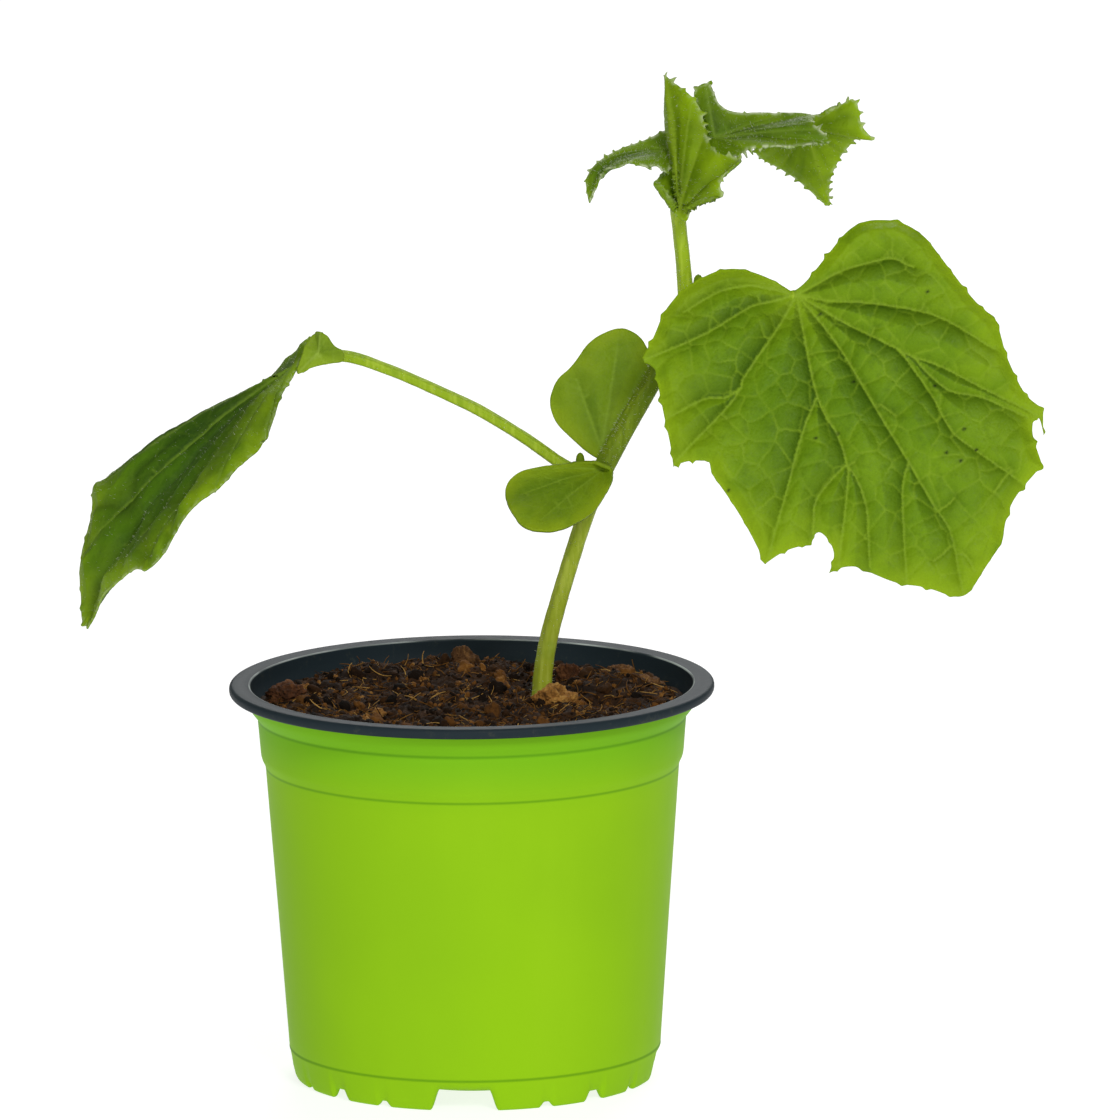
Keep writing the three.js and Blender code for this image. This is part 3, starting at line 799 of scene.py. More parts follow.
    def build(self, material):
        base = self.shape.lift(self.flat)
        outward = self.normals(base)
        upper = base + outward * self.height[:, None]
        lower = upper - outward * (self.thickness + self.ribs)[:, None]
        count, border = len(self.flat), len(self.outline)
        faces = [tuple(face) for face in self.faces]
        faces += [(a + count, c + count, b + count) for a, b, c in self.faces]
        faces += [(k, k + count, (k + 1) % border + count, (k + 1) % border) for k in range(border)]
        piece = new_piece(self.name, np.vstack([upper, lower]), faces, [material])
        width = 0.36 - 0.2 * self.out / self.reach
        main = np.exp(-(self.to_main / width) ** 2) * (1 - 0.5 * (self.out / self.reach) ** 2)
        branch = np.exp(-(self.to_branch / 0.25) ** 2)
        fade = 1.25 - 0.7 * self.out / self.reach
        # Painted shade: darker on one side of each main vein near the stalk, beside the side veins, and in
        # the valleys of the folds.
        dark = np.exp(-self.to_main / 4.2) * np.where(self.side < 0, 1, 0.15) * fade
        dark = np.maximum(dark, 0.5 * np.exp(-self.to_branch / 1.5))
        dark = np.maximum(dark, 0.9 * (1 - self.fold) ** 2 * (self.fold > 0))
        # Marks for the material: dark holds the painted shade, edge the reach of the painted glow at the
        # margin; vein, net, rim and speck are the leaf's own veins, down and specks.
        marks = {"vein": np.maximum(main, 0.62 * branch), "net": np.exp(-(self.to_net / 0.22) ** 2),
                 "dark": dark, "edge": np.exp(-self.to_edge / 7), "rim": np.exp(-(self.to_edge / 0.5) ** 2),
                 "speck": self.speck}
        for name, values in marks.items():
            store(piece, name, np.concatenate([values, values]))
        store(piece, "under", np.repeat([0.0, 1.0], count))
        layer = piece.data.uv_layers.new(name="flat")
        corner_points = np.zeros(len(piece.data.loops), dtype=np.int32)
        piece.data.loops.foreach_get("vertex_index", corner_points)
        layer.data.foreach_set("uv", (self.flat[corner_points % count] / 100).ravel())
        self.piece = piece
        return piece


# %% [markdown]
# ### Leaf colour
#
# A leaf's colours follow its veins: pale on the vein itself, and a painted shade of deep green on
# one side of each main vein, beside the side veins and in the valleys of the folds. Towards the
# margin a painted yellow-green glow stands for light shining through the thin blade. A texture that
# knows nothing of the veins can't do that, so the blade stores its distances as attributes and the
# material mixes by them. A leaf also lets light through, so a share of the surface is translucent.

# %% Leaf finish
def make_leaf(name, colours, translucency=0.3, fine=0.55, downy=0.0):
    """A leaf blade. `fine` sets how far the vein net shows, `downy` how white the margin is."""
    deep, body, pale, vein, glow, under = colours.split()
    s = Shader(name)
    flat = s.flat_place()
    shade = s.blend(s.span(s.noise(6, 3, flat), 0.32, 0.68), colour(body), colour(pale))
    # Painted shade: deep green where the dark mark lies, beside the veins and in the folds.
    shade = s.blend(s.attribute("dark") * 0.95, shade, colour(deep))
    shade = s.blend(s.span(s.noise(42, 4, flat), 0.45, 0.8, 0, 0.35), shade, colour(deep))
    # Painted glow: yellow-green towards the margin, standing for light shining through the thin blade.
    thin = s.attribute("edge") * s.span(s.noise(9, 2, flat), 0.3, 0.6, 0.3, 0.85)
    shade = s.blend(thin, shade, colour(glow))
    threads = s.cell_borders(85, flat)
    broken = s.span(s.noise(16, 2, flat), 0.35, 0.65, 0.35, 1.0)
    fine_veins = s.attribute("net") * broken * fine + s.span(threads, 0.0, 0.05, 0.1, 0.0)
    shade = s.blend(fine_veins, shade, colour(vein))
    shade = s.blend(s.attribute("vein") * 0.8, shade, colour(vein))
    down = s.attribute("rim") * s.span(s.noise(60, 3, flat), 0.4, 0.6) * downy
    shade = s.blend(down, shade, colour("D5DFB4"))
    shade = s.blend(s.attribute("under") * 0.6, shade, colour(under))
    shade = s.blend(s.attribute("speck"), shade, colour("14180A"))
    grain = s.noise(170, 3, flat)
    normal = s.bump(grain + threads * 3, 0.0001, 0.6)
    front = s.principled(Base_Color=shade, Roughness=s.span(grain, 0.3, 0.7, 0.42, 0.6), Normal=normal,
                         IOR=1.42, Specular_IOR_Level=0.16)
    through = s.node("ShaderNodeBsdfTranslucent", None, {"Color": s.blend(0.4, shade, colour(glow))})
    return s.finish(s.node("ShaderNodeMixShader", None, [translucency, front, through]))


# Each list of colours is: deep, body, pale, vein, glow at the margin, underside.
LEAF = make_leaf("leaf_green", "2F500A 648A0D 789D10 94B42A 9CBC16 7C9A24", 0.26, 0.4)
# Painted shade: a darker copy of the leaf finish, for the hanging leaf.
LEAF_PAINTED_SHADE = make_leaf("leaf_dark_green", "23400A 41680B 54800F 7A9A30 93B412 6F8F22", 0.22, 0.12, 0.3)
UNDERSIDE = make_leaf("leaf_underside", "56780F 7E9E26 8BAA30 A5C04C 9CB82A 8AA838", 0.3, 0.25)
YOUNG = make_leaf("leaf_young_green", "42600C 6C8A0E 7F9A12 90AA28 A6C810 7A9A20", 0.36, 0.2, 0.6)
# Painted shade: a darker copy of the young leaf finish, for the near fold and the drooping lobe.
YOUNG_PAINTED_SHADE = make_leaf("leaf_young_dark", "22400C 3E620E 50780F 7C9A30 8CAE14 5F8020", 0.28, 0.12, 0.9)
SEED = make_leaf("seed_leaf_green", "50700C 64860F 769616 88A62C 98B018 7E9628", 0.26, 0.3)

# %% [markdown]
# ### The large leaf
#
# The second true leaf turns its upper face to the front and is almost level, so its flat layout
# is a tilted plane with a slight dome. Its margin is given point by point, because this leaf has
# tears and a bite at its lower edge that no rule would give.

# %% Large leaf
class Tilted:
    """A flat sheet, tipped forwards about its stalk and slightly domed."""

    def __init__(self, hub, lean, corners, dome, reach):
        self.hub, self.lean, self.dome, self.reach = as_array(hub), lean, dome, reach
        self.corners = as_array([corner[:2] for corner in corners])

    def lift(self, flat):
        across = as_array([1, 0, 0])
        along = as_array([0, math.sin(self.lean), math.cos(self.lean)])
        front = as_array([0, -math.cos(self.lean), math.sin(self.lean)])
        r = np.linalg.norm(flat, axis=1)
        rise = self.dome * r * (1 - r / self.reach)
        return self.hub + flat[:, :1] * across + flat[:, 1:] * along + rise[:, None] * front


LARGE_MARGIN = [  # across and up the blade, from the stalk; a third figure marks a sharp corner
    (-1, 0.6), (-3, 2), (-6.5, 4), (-13, 6.5), (-19, 6.3), (-25.5, 3), (-29, 0.5), (-33, -4.5),
    (-35.5, -11), (-38.4, -16, 1), (-35.2, -19, 1), (-33.5, -29.5), (-31.5, -38), (-31, -43.5, 1),
    (-27, -42.3), (-22, -42.5, 1), (-21.5, -45.5, 1), (-17, -52), (-12.5, -59.5), (-8.5, -68, 1),
    (-4, -65), (0, -63.6), (3, -63.5, 1), (3.4, -61), (5, -60), (7.5, -62.5), (8.6, -66), (7, -70.5, 1),
    (10, -69), (14, -68.7), (18, -70.6), (24, -73), (31, -73.8), (38, -76.3), (41.5, -75.4), (46, -68),
    (50, -62.5), (50.5, -58), (53, -51.5), (60, -43.5, 1), (57.6, -36), (58, -31.8), (59.3, -31.4, 1),
    (60.3, -36, 1), (60.4, -29.4, 1), (56, -26), (51.5, -16.5), (49.6, -9), (48.6, -6.5, 1), (45, -4),
    (39, 4), (35, 9.5), (32, 13.7), (28, 17), (23.5, 18.6), (18, 18.6), (12.5, 16), (6, 8), (2.2, 3)]
LARGE_VEINS = [
    [(0, 0), (6, 3), (11, 5.5), (17.5, 7.5), (23.5, 8.5), (27, 7)],
    [(0, 0), (8, -2), (15, -2.5), (23.5, -3.5), (30.5, -5), (36, -7), (44, -12)],
    [(0, 0), (10, -6.5), (18, -11), (24.5, -14.5), (28.5, -16.5), (35.5, -19), (44, -23.5), (57, -30)],
    [(24.5, -14.5), (27.5, -18), (32.5, -25.5), (37.5, -35), (43.5, -40), (52, -46)],
    [(28.5, -16.5), (32.5, -21), (37.5, -25), (45, -26.5), (52, -29.5)],
    [(0, 0), (7, -9), (12, -16.5), (20, -31), (27, -43), (33, -53.5), (37, -60), (39, -70)],
    [(27, -43), (25.5, -49), (25.5, -57.5), (26, -68)],
    [(0, 0), (1.5, -9.5), (4, -23.5), (6.5, -31), (9.5, -36), (11.5, -42.5), (12, -48), (10, -65)],
    [(4.5, -27), (2, -33), (-0.5, -40.5), (-2, -46.5), (-6.5, -62)],
    [(12, -44), (14.5, -48), (16.5, -54.5), (17, -64)],
    [(11.5, -44), (7.5, -48), (4, -53), (3.5, -58)],
    [(0, 0), (-4.5, -8.5), (-13, -21), (-14, -24), (-18, -29.5), (-28, -40)],
    [(-14, -24), (-18, -26.5), (-23.5, -27), (-31, -31)],
    [(0, 0), (-6.5, -2), (-11.5, -3.5), (-23, -10.5), (-35, -15.5)],
    [(0, 0), (-7.5, 1.5), (-12.5, 2), (-19, 0.5), (-25, -3)]]
LARGE_SPECKS = [(13.5, -23), (33.5, -24), (40.5, -35), (4, -37.5), (43.5, -40), (5.5, -5.5), (32, -0.5),
                (-17.5, -50), (9.5, -36), (39.5, -43), (36, -41)]
large_shape = Tilted((81, 2, 195), math.radians(24.5), LARGE_MARGIN, 0.12, 62)
large_sharp = {k for k, corner in enumerate(LARGE_MARGIN) if len(corner) == 3}
long_veins = [line + [tuple(1.5 * as_array(line[-1]) - 0.5 * as_array(line[-2]))] for line in LARGE_VEINS]
large_blade = Blade("large_leaf", large_shape, long_veins, gap=6, depth=0.75, seed=3, puff=0.8, pleat=1.7,
                    sharp=large_sharp, specks=LARGE_SPECKS, step=0.42, cell=6.0)
large_leaf = large_blade.build(LEAF)
stand_for(large_leaf, "leaf", "leaf_right")


# %% [markdown]
# ### The hanging leaf and the young leaves
#
# The first true leaf hangs to the left: we see the near half of its upper face, and the pale
# underside of one lobe that curls up where the stalk joins. The leaves at the top are still
# unfolding. Their spokes may pass over a fold on the way to the margin, which is given as a
# fourth entry, and their main veins run to the tips of their lobes.

# %% Hanging leaf
def veins_to(spokes, tips, stop=0.94):
    """Main veins that run from the stalk to the named margin points."""
    return [[(0, 0), *(spokes.corners[k] * s for s in (0.35, 0.7, stop))] for k in tips]


HANGING_RIM = [
    (-38, 7, 186), (-41, 12, 180.2, (-41.5, 6, 180.4)), (-49.5, 30, 164, (-49, 8.5, 174)),
    (-62, 36, 153.5, (-55, 7.5, 168.5)), (-74, 38, 146.5, (-63, 8.5, 162)), (-86, 34, 142, (-80, 14.5, 152)),
    (-92, 22, 142.5, (-78, 18, 154.5)), (-93.6, 13, 144.5), (-93, 12, 141.5), (-94, 10, 137), (-96, 8, 133),
    (-96.6, 6, 129), (-96, 2, 123), (-95.8, 0, 118), (-96.6, -3, 111.6), (-93, -6, 116.5),
    (-92, -10, 121.5), (-89.5, -14, 125), (-86.5, -18, 128), (-83, -22, 132.5), (-81.5, -24, 133),
    (-80, -26, 132), (-77.5, -28, 134.5), (-75.5, -29, 136), (-74, -29, 139), (-69.5, -29, 146.5),
    (-66.5, -29, 150.5), (-63, -29, 151.5), (-57, -26, 158), (-54.5, -24, 160.5), (-51, -22, 161.5),
    (-49.5, -18, 165), (-48, -14, 169), (-45.3, -8, 174), (-43.8, -4, 176.3)]
hanging_shape = Spokes((-43.6, 1, 178.5), HANGING_RIM, 0.07, level=False, soften=1.5)
hanging_veins = veins_to(hanging_shape, (3, 5, 7, 11, 14, 18, 21, 24, 27, 30))
hanging_blade = Blade("hanging_leaf", hanging_shape, hanging_veins,
                      seed=11, pleat=1.8, cell=6.5, sharp={7, 14, 20, 21}, step=0.5, puff=0.35, wave=0.6,
                      ripple=(22, 1.5), plain=(0, 1, 2))
hanging_leaf = hanging_blade.build(LEAF_PAINTED_SHADE)
stand_for(hanging_leaf, "leaf", "leaf_left")

CURL_RIM = [
    (-31, 0, 182.5), (-33, -3, 184), (-34.5, -5, 187), (-36.5, -4, 188), (-38, 0, 187.3),
    (-40.3, -4.5, 184.3), (-43, -4, 176.6), (-39.5, -6, 179), (-35, -5, 180), (-30.5, -2, 179.8)]
curl_shape = Spokes((-37, -6, 183), CURL_RIM, 0.05, soften=2)
curl_blade = Blade("curled_lobe", curl_shape, veins_to(curl_shape, (3, 6)), seed=12, pleat=0.4, puff=0.15,
                   cell=4, gap=9, depth=0.2, step=0.4, wave=0.3)
curled_lobe = curl_blade.build(UNDERSIDE)
stand_for(curled_lobe, "leaf", "leaf_left_lobe")

# %% Young leaves at the top
UPRIGHT_RIM = [
    (54, -3, 214), (55, -6, 218), (57, -8, 221), (60, -10, 222), (63, -12, 222), (62, -11, 225.5),
    (64.5, -11, 229), (68, -9, 231.5), (61.8, -6, 231.8), (59.4, -3, 234.3), (59.2, -1, 237.5),
    (58.5, 0, 240.5), (57, 1, 243.5), (55.5, 2, 245), (52, 1, 248), (48.5, 0, 251.5, (51.5, -8, 236)),
    (49, 4, 245.5),
    (50, 6, 240.5), (50.5, 7, 235), (50.5, 6, 231), (49.5, 3, 227.5), (46.5, -2, 224.5), (48, -4, 224),
    (49, -5, 222.5), (50.5, -4, 220), (51, -3, 216)]
NEAR_FOLD_RIM = [
    (64, -2, 229.5), (68, -5, 231.5), (70, -7.5, 233), (74, -9, 234), (80.5, -8, 234), (89.5, -6, 234.5),
    (87.5, -5, 237.5), (85, -3, 239), (86, 2, 240), (79.5, 3, 240.5), (72.5, 3, 240.5), (65, 3, 240.5),
    (61.5, 4, 243), (60.8, 6, 247), (58.8, 6, 247.9), (56.3, 6, 246.4), (55.6, 5, 244.6), (57, 4, 242.5),
    (57.4, 3, 239), (57.5, 2, 234.5), (59, 0, 231.5)]
FAR_HALF_RIM = [
    (71, 14, 228.5), (73, 16, 226.5), (77, 17, 224), (80.5, 18, 221.5), (84.5, 19, 218), (88, 20, 214.5),
    (90, 20, 213.5), (89.5, 18, 218), (90, 16, 222.5), (92.5, 12, 228), (95, 9, 231.5), (96.5, 7, 233.5),
    (100.5, 4, 233), (97.5, 4, 236.5), (97, 5, 239.5), (96.5, 5, 242.5), (95, 6, 243.5), (94, 6, 243),
    (88.5, 6, 239.5), (85.5, 6, 239), (77, 6, 239), (68.5, 6, 238.5)]
DROOPING_RIM = [
    (50.5, 3, 234.5), (49, 4, 236.5), (45, 5, 234), (40.5, 5, 232.5), (35, 4, 230.5), (32, 3, 228.5),
    (30, 1, 226.5, (38, 2, 232.5)), (29, 0, 224, (34, 1, 232.5)), (30, -2, 219, (33, 0, 232.5)),
    (31.5, -3, 222.5, (34, -2, 231.5)), (32.5, -4, 225.5, (36, -3, 231)), (34, -5, 228),
    (37.5, -6, 228.5), (40, -6, 230), (42.5, -7, 229), (44.5, -7, 228.5), (46.5, -6, 229), (48, -6, 228),
    (49.5, -5, 226.5), (51, 0, 229.5)]
YOUNG_LEAVES = (  # piece, node, hub, rim, arch, vein tips, sharp corners, plain corners, finish
    ("upright_leaf", "leaf_bud", (52, -4, 217), UPRIGHT_RIM, 0.03,
     (4, 7, 10, 13, 15, 18, 21), {4, 7, 15, 21}, (), YOUNG),
    ("near_fold", "leaf_top", (61, -0.5, 235), NEAR_FOLD_RIM, 0.03,
     (3, 4, 5, 6, 7, 8, 9, 14), {5, 7}, (9, 10, 11, 12), YOUNG_PAINTED_SHADE),
    ("far_half", "leaf_top_far", (83.5, 7, 236), FAR_HALF_RIM, 0.02,
     (6, 2, 9, 12, 16, 20), {6, 12, 16}, (), YOUNG),
    ("drooping_lobe", "leaf_top_left", (49.5, 2, 231.5), DROOPING_RIM, 0.05,
     (3, 6, 8, 10, 13), {8}, (), YOUNG_PAINTED_SHADE))
young_leaves = []
for seed, (name, node, hub, rim, arch, tips, sharp, plain, finish) in enumerate(YOUNG_LEAVES, start=21):
    young_shape = Spokes(hub, rim, arch, level=False, soften=1)
    young_blade = Blade(name, young_shape, veins_to(young_shape, tips), step=0.3, gap=2.6, depth=1.3,
                        cell=3.6, seed=seed, pleat=0.8, puff=0.25, sharp=sharp, thickness=0.4,
                        wave=0.3, plain=plain, ripple=(16, 0.6))
    young_leaf = young_blade.build(finish)
    stand_for(young_leaf, "young_leaf", node)
    young_leaves.append(young_leaf)

# %% Seed leaves
FRONT_SEED_RIM = [
    (30, 0, 153.6), (25, -2, 154), (18.5, -5, 154), (12.5, -8, 153.5), (9, -11, 151), (9, -15, 147.5),
    (11, -19, 143.5), (14.5, -21, 141), (22, -19, 140.5), (29.5, -13, 143), (33.5, -7, 147),
    (35.5, -1, 151.5)]
BACK_SEED_RIM = [
    (33.6, 9.6, 153), (37, 11.6, 158), (41, 14, 163.5), (44.5, 17, 170), (45, 20, 177), (42.5, 22, 181.5),
    (37.5, 22, 184), (30, 20, 181), (25.5, 18, 174.5), (21.5, 17, 171.5), (19.5, 16, 166),
    (21.5, 14, 161), (26.5, 12, 156.5), (31.4, 9.6, 153)]
for name, hub, rim, arch, tips, node in (
        ("front_seed_leaf", (33.2, 2.6, 151.6), FRONT_SEED_RIM, 0.05, (3, 5, 7), "seed_leaf_front"),
        ("back_seed_leaf", (32.6, 10.4, 155), BACK_SEED_RIM, -0.05, (4, 6, 8), "seed_leaf_back")):
    seed_shape = Spokes(hub, rim, arch, soften=4)
    seed_blade = Blade(name, seed_shape, veins_to(seed_shape, tips, 0.85), step=0.5, gap=30, depth=0.0,
                       cell=5, seed=len(name), pleat=0.5, puff=0.15, thickness=0.9, wave=0.5)
    seed_leaf = seed_blade.build(SEED)
    stand_for(seed_leaf, "leaf", node)

# %% [markdown]
# ## Stems and stalks
#
# A cucumber stem is a soft rod with shallow ridges. It is a path with rings of points round it.
# Each ring's radius follows a list of widths, so that a stem can swell at its joints.

# %% Stalks
RIDGES, RIDGE_HEIGHT = 5, 0.06
STALK_SIDES, STALK_STEP = 40, 0.7


def make_stalk(name, route, widths, material, rings):
    """A ridged rod along a route. `rings` sets how strongly its foot is ringed like a worm."""
    path = curve_through(route, STALK_STEP)
    ahead = np.gradient(path, axis=0)
    ahead /= np.linalg.norm(ahead, axis=1)[:, None]
    side = np.cross(ahead[0], (0, 1, 0.3))
    turn = np.arange(STALK_SIDES) * 2 * math.pi / STALK_SIDES
    share = np.linspace(0, 1, len(path))
    radius = np.interp(share, np.linspace(0, 1, len(widths)), widths) / 2
    loops = []
    for point, direction, size, t in zip(path, ahead, radius, share):
        side = side - direction * (side @ direction)
        side /= np.linalg.norm(side)
        other = np.cross(direction, side)
        swell = 1 + RIDGE_HEIGHT * np.cos(RIDGES * turn + 1.2 * t) + rings * math.sin(t * 95) * (1 - t)
        loops.append(point + (size * swell * np.cos(turn))[:, None] * side
                     + (size * swell * np.sin(turn))[:, None] * other)
    first, last = path[:1] - ahead[0] * 0.05, path[-1:] + ahead[-1] * 0.4
    everything = [first, *loops, last]
    faces, _ = stitch(everything)
    points = np.vstack(everything)
    points += 0.05 * noise(points, 2.5, 4)[:, None] * [1, 1, 0.4]
    piece = new_piece(name, points, faces, [material])
    along = np.concatenate([[0], np.repeat(share, STALK_SIDES), [1]])
    store(piece, "along", along)
    return piece


def make_stem_green(name, low, high, pale):
    s = Shader(name)
    stretch = s.node("ShaderNodeMapping", None, {"Vector": s.place, "Scale": (1, 1, 0.12)})
    streaks = s.noise(900, 3, stretch)
    body = s.blend(s.attribute("along"), colour(low), colour(high))
    body = s.blend(s.span(streaks, 0.42, 0.68, 0, 0.55), body, colour(pale))
    body = s.blend(s.span(s.noise(220, 3), 0.5, 0.75, 0, 0.35), body, colour("6E8E22"))
    normal = s.bump(streaks + s.noise(1500, 2), 0.00015, 0.6)
    skin = s.principled(Base_Color=body, Roughness=0.5, Normal=normal, IOR=1.42, Specular_IOR_Level=0.2)
    return s.finish(skin)


STEM = make_stem_green("stem_green", "96A02C", "8BA01E", "ACB848")
# Painted shade: a darker copy of the stem finish, for the middle stem that lies in the shadow of the large
# leaf.
STEM_PAINTED_SHADE = make_stem_green("stem_olive", "607409", "5A7008", "7C9020")
STEM_BRIGHT = make_stem_green("stem_bright", "8EA81A", "88A614", "AAC03C")

lower_route = [(17, 8, 88), (18, 8, 101), (20.5, 7.5, 113), (26.5, 6.5, 133), (32.2, 6, 149.6)]
middle_route = [(32.4, 6, 150), (38.5, 7, 161), (45, 8, 172), (51, 9, 183), (53.8, 9, 193)]
upper_route = [(53.9, 9, 193), (53.2, 8.6, 202), (52.4, 7.6, 210), (52, 5, 218), (54, 1, 225)]
left_stalk_route = [(31.5, 6, 147), (22.5, 6, 152.5), (13.5, 6, 159), (2.5, 5.5, 166), (-8.5, 5, 171.5),
                    (-19.5, 4.5, 176.5), (-31.5, 4, 180.3), (-42.6, 1.4, 178.4)]
right_stalk_route = [(54.5, 9, 193), (61, 12, 191), (71, 10, 191.5), (77.5, 5, 193.5), (80.6, 2.4, 194.8)]
STALKS = (  # piece, route, widths along it, finish, node
    ("lower_stem", lower_route, (5.0, 4.6, 4.2, 4.1, 4.4), STEM, "stem_lower"),
    ("middle_stem", middle_route, (5.0, 4.9, 4.7, 4.8, 4.6), STEM_PAINTED_SHADE, "stem_middle"),
    ("upper_stem", upper_route, (4.0, 3.6, 3.5, 3.8, 3.0), STEM_BRIGHT, "stem_upper"),
    ("left_leaf_stalk", left_stalk_route, (3.8, 2.9, 2.8, 2.8, 2.7, 2.7, 3.0, 2.2), STEM_BRIGHT,
     "petiole_left"),
    ("right_leaf_stalk", right_stalk_route, (3.4, 3.0, 2.9, 2.8, 2.6), STEM_BRIGHT, "petiole_right"))
stalks = []
for name, route, widths, finish, node in STALKS:
    rings = 0.018 if name == "lower_stem" else 0.0
    stalk = make_stalk(name, route, widths, finish, rings)
    stand_for(stalk, "stem", node)
    stalks.append(stalk)

# %% [markdown]
# ## Soil
#
# Potting soil is peat with bark and coir: dark crumbs of every size, with brown fibres. The
# ground itself is a closed body with a rough top; crumbs and fibres are scattered on it later.

# %% Soil body
SOIL_EDGE = 53.0


def soil_height(places):
    """Height of the soil over the pot's base, at points (x, y)."""
    x, y = places[:, 0], places[:, 1]
    out = np.hypot(x, y) / SOIL_EDGE
    base = 92.4 + 1.3 * layers(places, 16, 2, 5) + 1.1 * np.abs(layers(places, 6, 3, 9)) * 1.2
    base += 0.55 * noise(places, 1.6, 14) + 0.3 * noise(places, 0.8, 15)
    for cx, cy, wide, tall in ((-44, 4, 9, 3.0), (40, 14, 13, 2.6), (24, 26, 9, 2.6), (-26, 34, 9, 2.8),
                               (-8, 38, 8, 2.2), (8, 40, 7, 2.0), (38, 34, 8, 2.2), (-42, -14, 8, 1.8),
                               (20, 0, 7, 1.2), (-30, 2, 6, -3.0), (31, 2, 5, -2.6), (8, 12, 6, -1.6)):
        base += tall * np.exp(-((x - cx) ** 2 + (y - cy) ** 2) / wide ** 2)
    brim = np.clip((out - 0.9) / 0.1, 0, 1)
    return (base + 0.4) * (1 - brim) + (93.5 + 0.5 * layers(places, 5, 3, 31)) * brim


def make_soil_body(material):
    step = 0.5
    count = int(2 * math.pi * SOIL_EDGE / step)
    turn = np.arange(count) * 2 * math.pi / count
    rim = SOIL_EDGE * np.stack([np.cos(turn), np.sin(turn)], axis=1)
    grid = even_grid((-SOIL_EDGE, -SOIL_EDGE), (SOIL_EDGE, SOIL_EDGE), step)
    grid = grid[np.hypot(grid[:, 0], grid[:, 1]) < SOIL_EDGE - 0.5 * step]
    border = [(k, (k + 1) % count) for k in range(count)]
    spots = [Vector(p) for p in np.vstack([rim, grid])]
    flat, _, triangles, *_ = delaunay_2d_cdt(spots, border, [], 1, 1e-5, False)
    flat = as_array([tuple(p) for p in flat])
    top = np.column_stack([flat, soil_height(flat)])
    rings = [top[:count]]
    for radius, height in ((51.6, 90), (50.7, 81.5), (49.9, 78), (46.8, 40), (44.9, 12), (42, 7.4), (26, 7.4),
                           (21.5, 1.4)):
        rings.append(np.column_stack([rim / SOIL_EDGE * radius, np.full(count, height)]))
    rings.append(as_array([[0, 0, 1.4]]))
    wall, _ = stitch(rings)
    shift = len(top) - count
    wall = [[index if index < count else index + shift for index in face][::-1] for face in wall]
    points = np.vstack([top] + rings[1:])
    return new_piece("soil_body", points, [tuple(t) for t in triangles] + wall, [material])


def make_soil_finish():
    s = Shader("peat")
    clumps = s.noise(110, 4, roughness=0.65)
    grit = s.noise(900, 4, roughness=0.7)
    shade = s.node("ShaderNodeValToRGB", {"stops": [
        (0.28, colour("0C0805")), (0.45, colour("21140A")), (0.6, colour("3D2612")),
        (0.8, colour("684420"))]},
        [clumps * 0.6 + grit * 0.4])
    normal = s.bump(grit, 0.0006, 1.0)
    return s.finish(s.principled(Base_Color=shade, Roughness=0.95, Normal=normal, Specular_IOR_Level=0.25))


PEAT = make_soil_finish()
soil_body = make_soil_body(PEAT)
stand_for(soil_body, "soil", "soil")


# %% Clods and the coir plug
def make_lump(name, node, material, seed, rough=0.2, shrink=0.97):
    """A crumbly lump that fills the box of its node."""
    low, high = (as_array(corner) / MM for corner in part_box(node))
    sphere, faces = even_ball(6, 1)
    swell = 1 + rough * (0.9 * noise(sphere, 0.7, seed) + 0.6 * layers(sphere, 0.3, 3, seed + 3)) - rough
    swell = swell * (1 - 0.35 * rough * np.abs(noise(sphere, 0.16, seed + 9)))
    points = (low + high) / 2 + sphere * swell[:, None] * (high - low) / 2 * shrink
    return new_piece(name, points, faces, [material])


def make_clod_finish(name, dark, middle, light):
    s = Shader(name)
    clumps = s.noise(260, 4, roughness=0.65)
    fibres = s.noise(1200, 3, s.node("ShaderNodeMapping", None, {
        "Vector": s.place, "Scale": (1, 0.25, 0.6), "Rotation": (0.4, 0.2, 0.9)}))
    mixed = clumps * 0.6 + fibres * 0.4
    shade = s.node("ShaderNodeValToRGB", {"stops": [
        (0.3, colour(dark)), (0.5, colour(middle)), (0.72, colour(light))]}, [mixed])
    normal = s.bump(fibres + clumps, 0.0008, 1.0)
    return s.finish(s.principled(Base_Color=shade, Roughness=0.95, Normal=normal, Specular_IOR_Level=0.2))


BARK = make_clod_finish("bark_crumb", "22130A", "4C2C16", "805430")
COIR = make_clod_finish("coir_fibre", "4E3214", "8E622C", "C79A52")
BROWN = make_clod_finish("brown_crumb", "2A1A0E", "5A3C22", "91693C")
CLODS = (  # node, finish, slot
    ("clod_left", BARK, "bark"), ("clod_back_left", PEAT, "soil"), ("bark_chip_back", BROWN, "bark"),
    ("clod_middle", PEAT, "soil"), ("clod_behind_stem", BARK, "bark"), ("clod_right_back", BROWN, "coir"),
    ("clod_right", BROWN, "bark"), ("clod_front", PEAT, "soil"), ("coir_plug", COIR, "coir"))
clods = []
for seed, (node, finish, slot) in enumerate(CLODS):
    clod = make_lump(node + "_crumb", node, finish, seed * 7 + 2, rough=0.24)
    stand_for(clod, slot, node)
    clods.append(clod)

# %% [markdown]
# ## Crumbs, fibres and hairs
#
# Peat is thousands of crumbs, and a cucumber is downy all over. Modelling them one by one would
# be endless, so Geometry Nodes throws a few small shapes on a surface: random places, a random
# turn and size for each, and a random tint that the material reads. One tree serves the crumbs,
# the fibres and the hairs, because only its inputs differ.

